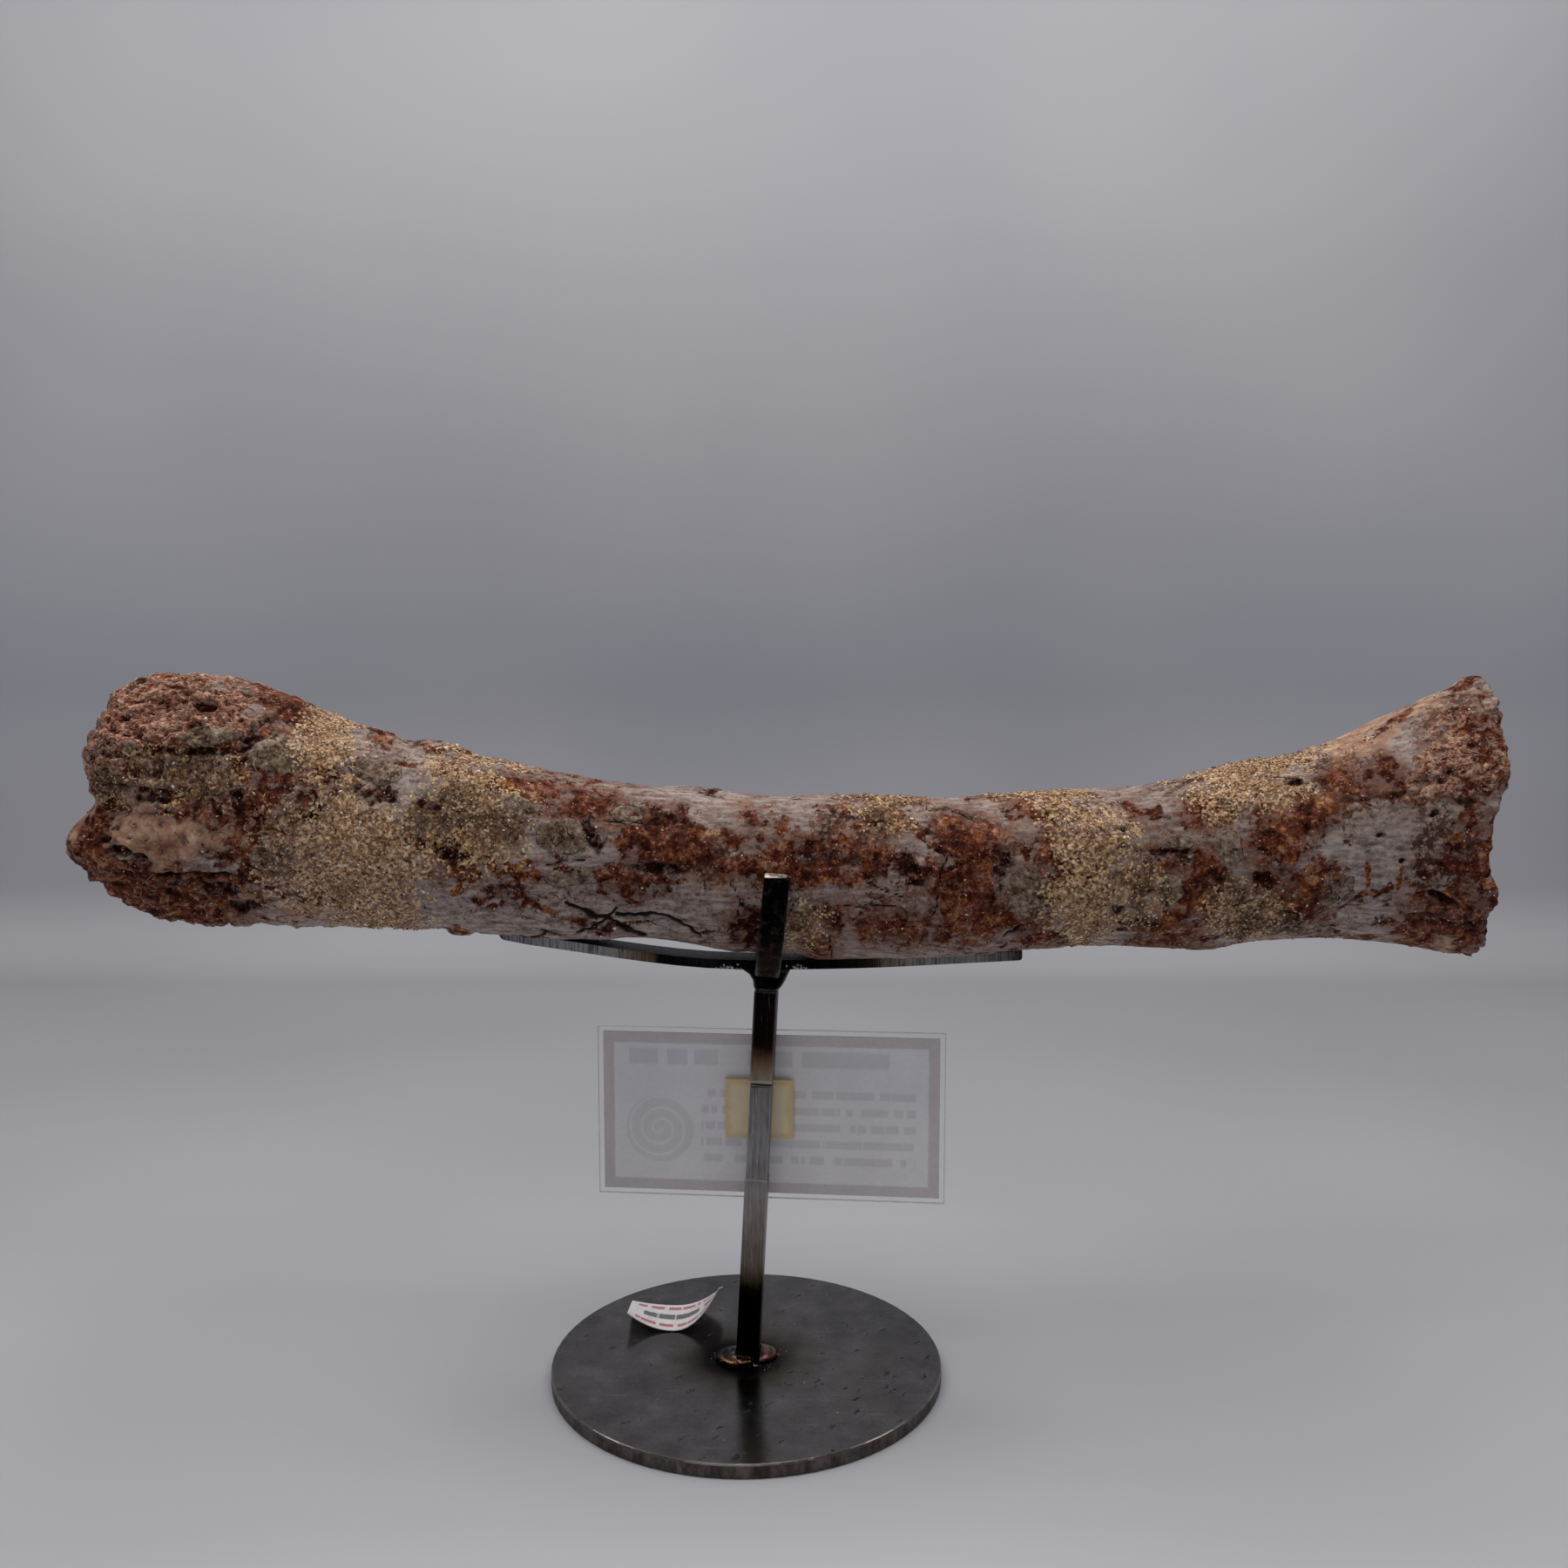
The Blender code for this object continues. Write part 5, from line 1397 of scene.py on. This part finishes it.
# %% Give the arms their sheared edges
ARM_BANDS = ((-63, "6a4c44"), (-60.5, "8f8a92"), (-50, "9f9da0"), (-35, "9c9896"), (-29, "8d826f"),
             (-24.5, "6a5840"), (-21.5, "15110e"), (-10, "1d2226"), (0, "0c0c0d"), (24, "0f1112"),
             (31, "2a211c"), (36, "776a5f"), (42, "8f8882"), (58, "8b8786"), (66, "6f6c6c"), (69, "3c3836"))
ARM_FROM = -66
ARM_TO = 74
STRIPE = 0.42


def sheared_strip():
    """Black sheet steel with bright, striped, sheared edges."""
    material, add, shader, place = blank_material("sheared_black_sheet_steel")
    x = axes(add, place)[0]
    edge = add("step", add("ABSOLUTE", facing(add, "Y")), 0.45, 0.8)
    cloud = speckle(add, place, 3.0, 6.0, None, 0.65, 1.9)
    along = add("SUBTRACT", add("ADD", x, swing(add, cloud, 4.0)), ARM_FROM)
    length = ARM_TO - ARM_FROM
    stops = [((stop - ARM_FROM) / length, code) for stop, code in ARM_BANDS]
    bands = add("ramp", add("DIVIDE", along, length), *stops)
    stripe = speckle(add, place, STRIPE, 3.0, (1, 0.2, 0.06), 0.7, 2.4)
    striped = add("ramp", stripe, (0.15, "76767a"), (0.5, "e8e8ea"), (0.85, "ffffff"))
    sheared = add("tint", 1.0, bands, striped)
    scale = add("ramp", cloud, (0.25, "070707"), (0.55, "121212"), (0.75, "231f1d"), (0.95, "4a4542"))
    colour = add("mix", edge, scale, sheared)
    height = add("between", edge, cloud, stripe)
    finish_steel(add, shader, colour, add("between", stripe, 0.34, 0.5), height, 0.06)
    return material


strip = sheared_strip()
dress("left_arm", strip)
dress("right_arm", strip)
print("The arms have", len(ARM_BANDS), "bands along their edges")

# %% [markdown]
# ## The prongs
# Both prongs are square bar, forged round by the torch, so they are black all over. Their
# lower half is painted lighter brown: a painted reflection of the pale floor, where the bar
# curves to face down. A grinder took the skin off their ends, which are bare and light, and
# left grey scratches on the corners below, which also serve as a painted highlight there.

# %% Give the prongs their scale
PRONG_VOXEL = 0.42
PRONG_ROUNDS = 16


def forged_bar(name, top):
    """Black forge scale, painted lighter brown below as a reflection of the floor, and a bare end at height
    top.
    """
    material, add, shader, place = blank_material(name)
    z = axes(add, place)[2]
    cloud = speckle(add, place, 2.4, 7.0, None, 0.68, 2.2)
    black = add("ramp", cloud, (0.25, "030303"), (0.6, "0a0808"), (0.8, "241f1c"), (1.0, "5c5650"))
    brown = add("ramp", cloud, (0.2, "050303"), (0.5, "1d1411"), (0.72, "3a2a22"), (0.95, "75685a"))
    # Painted reflection: below its upper part the bar is painted lighter brown, as its lower curve faces
    # down and would mirror the pale floor.
    colour = add("mix", add("step", z, top - 14, top - 19), black, brown)
    foot = add("step", z, top - 26.4, top - 27.8)
    colour = add("mix", add("MULTIPLY", foot, 0.6), colour, "4c4430")
    line = scratches(add, place, 0.5, (1, 1, 0.1))
    # Grey scratches on the corners, which are also a painted highlight along them.
    corner = add("MULTIPLY", add("step", corner_angle(add, 0.9), 0.99, 0.88), add("step", line, 0.3, 0.75))
    high = add("between", add("step", z, top - 8, top - 2), 0.25, 0.85)
    colour = add("mix", add("MULTIPLY", corner, high), colour, "7c7670")
    bare = add("step", z, top - 0.75, top - 0.45)
    chipped = add("ramp", cloud, (0.15, "5c564f"), (0.4, "a89e94"), (0.7, "e8e0d6"))
    colour = add("mix", bare, colour, chipped)
    finish_steel(add, shader, colour, add("between", cloud, 0.36, 0.55), cloud, 0.1)
    return material


def round_off(name):
    """Stands a copy with its corners worn round in for a packed bar."""
    mesh = even_net(nodes[name].data, PRONG_VOXEL, PRONG_ROUNDS)
    mesh.shade_smooth()
    bar = in_scene("rounded_" + name, mesh)
    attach(bar, "root")
    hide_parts(name)
    print(bar.name, "has", len(mesh.polygons), "faces")


for name in ("front_prong", "rear_prong"):
    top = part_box(name)[1][2] / MM
    dress(name, forged_bar("black_forge_scale_" + name, round(top, 1)))
    round_off(name)
    print(name, "ends", round(top, 1), "mm over the floor")

# %% [markdown]
# ## Weld metal
# A weld is steel that melted and set: smooth, rippled where the pool moved, and burnt black
# outside. The foot has two pools. The left one set under dark glassy slag with a copper
# coloured edge, and the right one kept yellow and violet colours of thin oxide.

# %% Give the welds their metal
def burnt_weld():
    """The knot: soot-black weld with a thin grey line on its lower rim."""
    material, add, shader, place = blank_material("burnt_weld_metal")
    z = axes(add, place)[2]
    cloud = speckle(add, place, 2.0, 6.0, None, 0.65, 2.0)
    colour = add("ramp", cloud, (0.3, "020202"), (0.65, "08080a"), (0.95, "2c2c30"))
    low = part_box("cradle_weld")[0][2] / MM
    rim = add("step", add("ADD", z, swing(add, cloud, 0.6)), low + 0.55, low + 0.15)
    colour = add("mix", add("MULTIPLY", rim, 0.7), colour, "8a8684")
    finish_steel(add, shader, colour, add("between", cloud, 0.3, 0.5), cloud, 0.12)
    return material


POOL_CENTRE = (-2.6, -1.2)
POOL_RADIUS = 5.5
RAYS_FROM = (-1.0, -2.6)
RAY_LENGTH = 3.0


def foot_weld():
    """The foot: two pools, one under dark slag with a copper edge, one with oxide colours."""
    material, add, shader, place = blank_material("rippled_weld_pools")
    x, y, z = axes(add, place)
    ripple = add("TexWave", place, 1 / (6.5 * MM), 5.0, 3.0, 1.5, wave_type="RINGS", rings_direction="Z")
    ripple = ripple.outputs["Fac"]
    fine = speckle(add, place, 1.2, 6.0, None, 0.65, 2.0)

    away = add("ADD", away_from(add, x, y, POOL_CENTRE), swing(add, fine, 0.9))
    away = add("DIVIDE", away, POOL_RADIUS)
    slag = add("ramp", away, (0.0, "26272c"), (0.5, "34363c"), (0.78, "1a1719"))
    warm = add("ramp", away, (0.3, "2e3036"), (0.55, "3c302a"), (0.72, "4a362b"), (0.8, "785848"),
               (0.85, "a07c66"), (0.9, "2c120c"), (1.0, "100504"))
    left = add("mix", add("step", y, POOL_CENTRE[1] + 1, POOL_CENTRE[1] - 3), slag, warm)
    ray_reach = away_from(add, x, y, RAYS_FROM)
    fan = add("CombineXYZ", add("MULTIPLY", turn_about(add, x, y, RAYS_FROM), 5.0), ray_reach)
    ray = add("step", add("noise", fan, 1.0, 2.0), 0.5, 0.6)
    ray = add("MULTIPLY", ray, within(add, ray_reach, 0.3, RAY_LENGTH))
    left = add("mix", add("MULTIPLY", ray, 0.85), left, "d8bfa0")

    right = add("ramp", add("DIVIDE", add("ADD", y, 3.6), 8.6), (0.08, "70504c"), (0.25, "583a42"),
                (0.5, "806248"), (0.75, "80704c"), (1.0, "3a3026"))
    colour = add("mix", add("step", add("ADD", x, add("MULTIPLY", y, 0.2)), 1.2, 2.2), left, right)
    colour = add("tint", 1.0, colour, add("ramp", ripple, (0.2, "b0b0b0"), (0.8, "ffffff")))
    edge = add("step", add("ADD", z, add("MULTIPLY", fine, 0.25)), 4.35, 4.05)
    colour = add("mix", add("MULTIPLY", edge, 0.85), colour, "1c0a08")
    finish_steel(add, shader, colour, add("between", fine, 0.22, 0.4), ripple, 0.1)
    return material


dress("cradle_weld", burnt_weld())
dress("base_weld", foot_weld())
print("The welds have their metal")

# %% [markdown]
# ## Spatter
# A welding arc throws off droplets that freeze to whatever they hit. Here they sit as silver
# beads on both arms beside the knot and as bright dots round the foot. Each is a small ball,
# half sunk in the steel that carries it.

# %% Freeze the droplets
SPATTER_SEED = 5
# Each row: where the middle of a cluster is, how far it spreads, how many beads, their radii.
CLUSTERS = [
    ((-4.2, -4.75, 108.7), (2.6, 0.0, 0.45), 16, (0.25, 0.6)),
    ((12.6, -4.75, 108.7), (2.2, 0.0, 0.45), 14, (0.25, 0.6)),
    ((5.6, -6.0, 3.6), (1.6, 1.2, 0.0), 9, (0.10, 0.24)),
    ((-8.5, 0.5, 3.6), (1.2, 3.0, 0.0), 5, (0.12, 0.25)),
    ((8.8, 2.0, 3.6), (1.4, 2.4, 0.0), 7, (0.12, 0.28)),
    ((12.0, -12.0, 3.6), (9.0, 8.0, 0.0), 9, (0.08, 0.20)),
    ((1.6, -5.4, 3.75), (2.4, 0.7, 0.0), 12, (0.12, 0.28)),
]
BALL_RINGS = 4
BALL_SIDES = 8

random = np.random.default_rng(SPATTER_SEED)
points, faces = [], []
for centre, spread, count, (least, most) in CLUSTERS:
    for _ in range(count):
        middle = np.array(centre) + random.normal(size=3) * np.array(spread) * 0.6
        radius = least + (most - least) * random.random() ** 2
        shape = radius * random.uniform(0.75, 1.2, 3)
        first = len(points)
        points.append(middle + shape * (0, 0, 1))
        for ring in range(1, BALL_RINGS):
            polar = math.pi * ring / BALL_RINGS
            for j in range(BALL_SIDES):
                turn = math.tau * j / BALL_SIDES
                spot = (math.sin(polar) * math.cos(turn), math.sin(polar) * math.sin(turn), math.cos(polar))
                points.append(middle + shape * spot)
        points.append(middle - shape * (0, 0, 1))
        last = len(points) - 1
        for j in range(BALL_SIDES):
            k = (j + 1) % BALL_SIDES
            faces.append((first, first + 1 + j, first + 1 + k))
            for ring in range(BALL_RINGS - 2):
                a = first + 1 + ring * BALL_SIDES
                faces.append((a + j, a + BALL_SIDES + j, a + BALL_SIDES + k, a + k))
            faces.append((last, last - BALL_SIDES + k, last - BALL_SIDES + j))
spatter_mesh = bpy.data.meshes.new("weld_spatter")
spatter_mesh.from_pydata([(p * MM).tolist() for p in points], [], faces)
spatter_mesh.shade_smooth()
spatter = in_scene("weld_spatter", spatter_mesh)
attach(spatter, "root")

bead, add, shader, place = blank_material("frozen_steel_droplets")
fine = speckle(add, place, 0.8, 4.0, None, 0.6, 2.0)
colour = add("ramp", fine, (0.3, "5a554f"), (0.55, "a8a198"), (0.85, "e8e2d8"))
finish_steel(add, shader, colour, add("between", fine, 0.25, 0.4))
spatter_mesh.materials.append(bead)
print("There are", sum(row[2] for row in CLUSTERS), "droplets")

# %% [markdown]
# ## The label card
# The card is printed paper, sealed between two sheets of clear film that reach past it all
# round. Its print faces away from the camera and only shows through the paper: a grey-mauve
# border, and inside it plain bars and a coiled shell in the place of words and picture. The
# film is a thin clear plastic: it lets the backdrop through, and shows as two hair lines,
# where the paper ends and where the film itself does.

# %% Give the card its paper and film
CARD_MIDDLE = (6.1, 67.2)
CARD_HALF = (45.7, 22.7)
CARD_LENGTHENING = 1.0043
FILM_MARGIN = 1.5
BAND_WIDTH = 2.9
SHELL_CENTRE = (-23, 62.5)
SHELL_RADIUS = 9
INK_SHOWING_THROUGH = 0.16


def laminated_card():
    """Paper in clear film: a soft mauve band, and clear margins with hair lines."""
    material, add, shader, place = blank_material("laminated_card")
    x, _, z = axes(add, place)
    inset = inset_of(add, x, z, CARD_MIDDLE, CARD_HALF, CARD_LENGTHENING)
    pulp = speckle(add, place, 1.0, 6.0, None, 0.65, 1.8)
    cloud = speckle(add, place, 16, 3.0, None, 0.5, 1.6)
    paper_tone = add("ramp", add("between", 0.4, cloud, pulp), (0.2, "ebe9ec"), (0.8, "fbfafd"))
    band_tone = add("ramp", add("between", 0.5, cloud, pulp), (0.2, "d0c8ca"), (0.8, "e2dbdc"))
    worn_inset = add("ADD", inset, swing(add, speckle(add, place, 3, 4.0), 0.5))
    inner = add("step", worn_inset, FILM_MARGIN + BAND_WIDTH - 0.35, FILM_MARGIN + BAND_WIDTH + 0.25)
    colour = add("mix", inner, band_tone, paper_tone)

    # Plain bars and a coil, which show through the paper.
    rows = add("MULTIPLY", bars(add, x, z, 4.4, 2.6),
               add("MULTIPLY", within(add, x, -12, 44), within(add, z, 52.8, 74.8)))
    heading = add("MULTIPLY", bars(add, x, add("ADD", z, 1.6), 8.8, 5.0),
                  add("MULTIPLY", within(add, x, -31, 40), within(add, z, 77.6, 86.4)))
    away = away_from(add, x, z, SHELL_CENTRE)
    turn = add("DIVIDE", turn_about(add, x, z, SHELL_CENTRE), math.tau)
    coil = add("FRACT", add("ADD", add("DIVIDE", away, 3.0), turn))
    coil = add("MULTIPLY", add("step", coil, 0.1, 0.35), add("LESS_THAN", away, SHELL_RADIUS))
    ink = add("MAXIMUM", add("MAXIMUM", rows, heading), add("MULTIPLY", coil, 0.7))
    printed_side = add("step", facing(add, "Y"), -0.2, 0.2)
    ink = add("MULTIPLY", ink, add("between", printed_side, INK_SHOWING_THROUGH, 0.75))
    colour = add("mix", ink, colour, "55525a")

    # The film's margin, its rim, and the creases in both. The creases are painted darker: a painted shade
    # along each fold.
    film = add("step", inset, FILM_MARGIN + 0.06, FILM_MARGIN - 0.06)
    colour = add("mix", film, colour, "ffffff")
    rim = add("step", inset, 0.32, 0.12)
    colour = add("mix", add("MULTIPLY", rim, 0.5), colour, "dcdce0")
    crease = add("SUBTRACT", speckle(add, place, 9, 3.0, (0.35, 0.35, 1), 0.5), 0.5)
    crease = add("step", add("ABSOLUTE", crease), 0.006, 0.001)
    crease = add("MULTIPLY", crease, add("step", cloud, 0.6, 0.8))
    colour = add("mix", add("MULTIPLY", crease, 0.35), colour, "8a8488")
    raised = add("Bump", {"Height": add("between", 0.5, crease, cloud), "Distance": 0.05 * MM,
                          "Strength": 0.6})
    fill(shader, {"Base Color": colour, "Roughness": add("between", film, 0.45, 0.04), "IOR": 1.2,
                  "Transmission Weight": add("MULTIPLY", film, add("between", rim, 0.95, 0.15)),
                  "Normal": raised})
    return material


dress("specimen_card", laminated_card())
print("The card has a band", BAND_WIDTH, "mm wide")

# %% [markdown]
# ## The tape
# A square of clear yellowed foam tape holds the card to the post. It is soft acrylic, full of
# tiny bubbles: light scatters in it, and its cut edges look deeper in colour.

# %% Give the tape its yellow
TAPE_MIDDLE = (3.3, 69.1)
TAPE_HALF = (8.8, 7.8)
BUBBLE = 0.6


def yellowed_tape():
    """Acrylic foam tape, yellowed, deeper in colour along its cut edges."""
    material, add, shader, place = blank_material("yellowed_acrylic_foam")
    x, _, z = axes(add, place)
    cloud = speckle(add, place, 5, 5.0, None, 0.6, 1.8)
    bubble, _, bubble_distance = grit(add, place, BUBBLE)
    inset = add("ADD", inset_of(add, x, z, TAPE_MIDDLE, TAPE_HALF), swing(add, cloud, 1.6))
    middle_tone = add("ramp", cloud, (0.2, "f2e0ba"), (0.8, "f8e8c4"))
    colour = add("mix", add("step", inset, 0.4, 2.0), "e8d09a", middle_tone)
    colour = add("mix", add("MULTIPLY", add("step", bubble, 0.8, 0.9), 0.12), colour, "fff6e0")
    raised = add("Bump", {"Height": add("MULTIPLY", bubble_distance, 0.3), "Distance": 0.1 * MM,
                          "Strength": 0.6})
    fill(shader, {"Base Color": colour, "Roughness": 0.45, "IOR": 1.47, "Subsurface Weight": 0.3,
                  "Subsurface Scale": 0.5 * MM, "Normal": raised})
    return material


dress("mounting_tape", yellowed_tape())
print("The tape is yellow")

# %% [markdown]
# ## The price label
# A small label of coated paper has curled off and lies on the plate. Coated paper is white
# with a dull sheen, and its fibres just show. Plain red and grey bars stand for its print.

# %% Give the label its paper
label_paper, add, shader, place = blank_material("coated_label_paper")
x, y, _ = axes(add, place)
fibre = speckle(add, place, 0.7, 6.0, (1, 0.4, 1), 0.65, 1.9)
cloud = speckle(add, place, 6, 3.0, None, 0.5, 1.5)
colour = add("ramp", add("between", 0.5, fibre, cloud), (0.15, "cfced2"), (0.5, "e4e3e6"), (0.85, "f4f3f5"))
row = add("SUBTRACT", y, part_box("price_sticker")[0][1] / MM)
small = add("MULTIPLY", bars(add, x, add("SUBTRACT", row, 1.0), 3.4, 1.6),
            add("ADD", within(add, row, 1.0, 4.4), within(add, row, 11.2, 14.6)))
large = add("MULTIPLY", bars(add, x, add("SUBTRACT", row, 4.7), 6.2, 2.4), within(add, row, 4.7, 10.9))
printed = add("MULTIPLY", within(add, x, -31, -9), add("step", facing(add, "Z"), 0.0, 0.3))
for rows, ink in ((small, "b8484f"), (large, "37373e")):
    rows = add("MULTIPLY", add("MULTIPLY", rows, printed), 0.85)
    colour = add("mix", rows, colour, ink)
raised = add("Bump", {"Height": fibre, "Distance": 0.03 * MM, "Strength": 0.7})
fill(shader, {"Base Color": colour, "Roughness": 0.42, "IOR": 1.5, "Normal": raised})
dress("price_sticker", label_paper)
print("The label has three rows of bars")
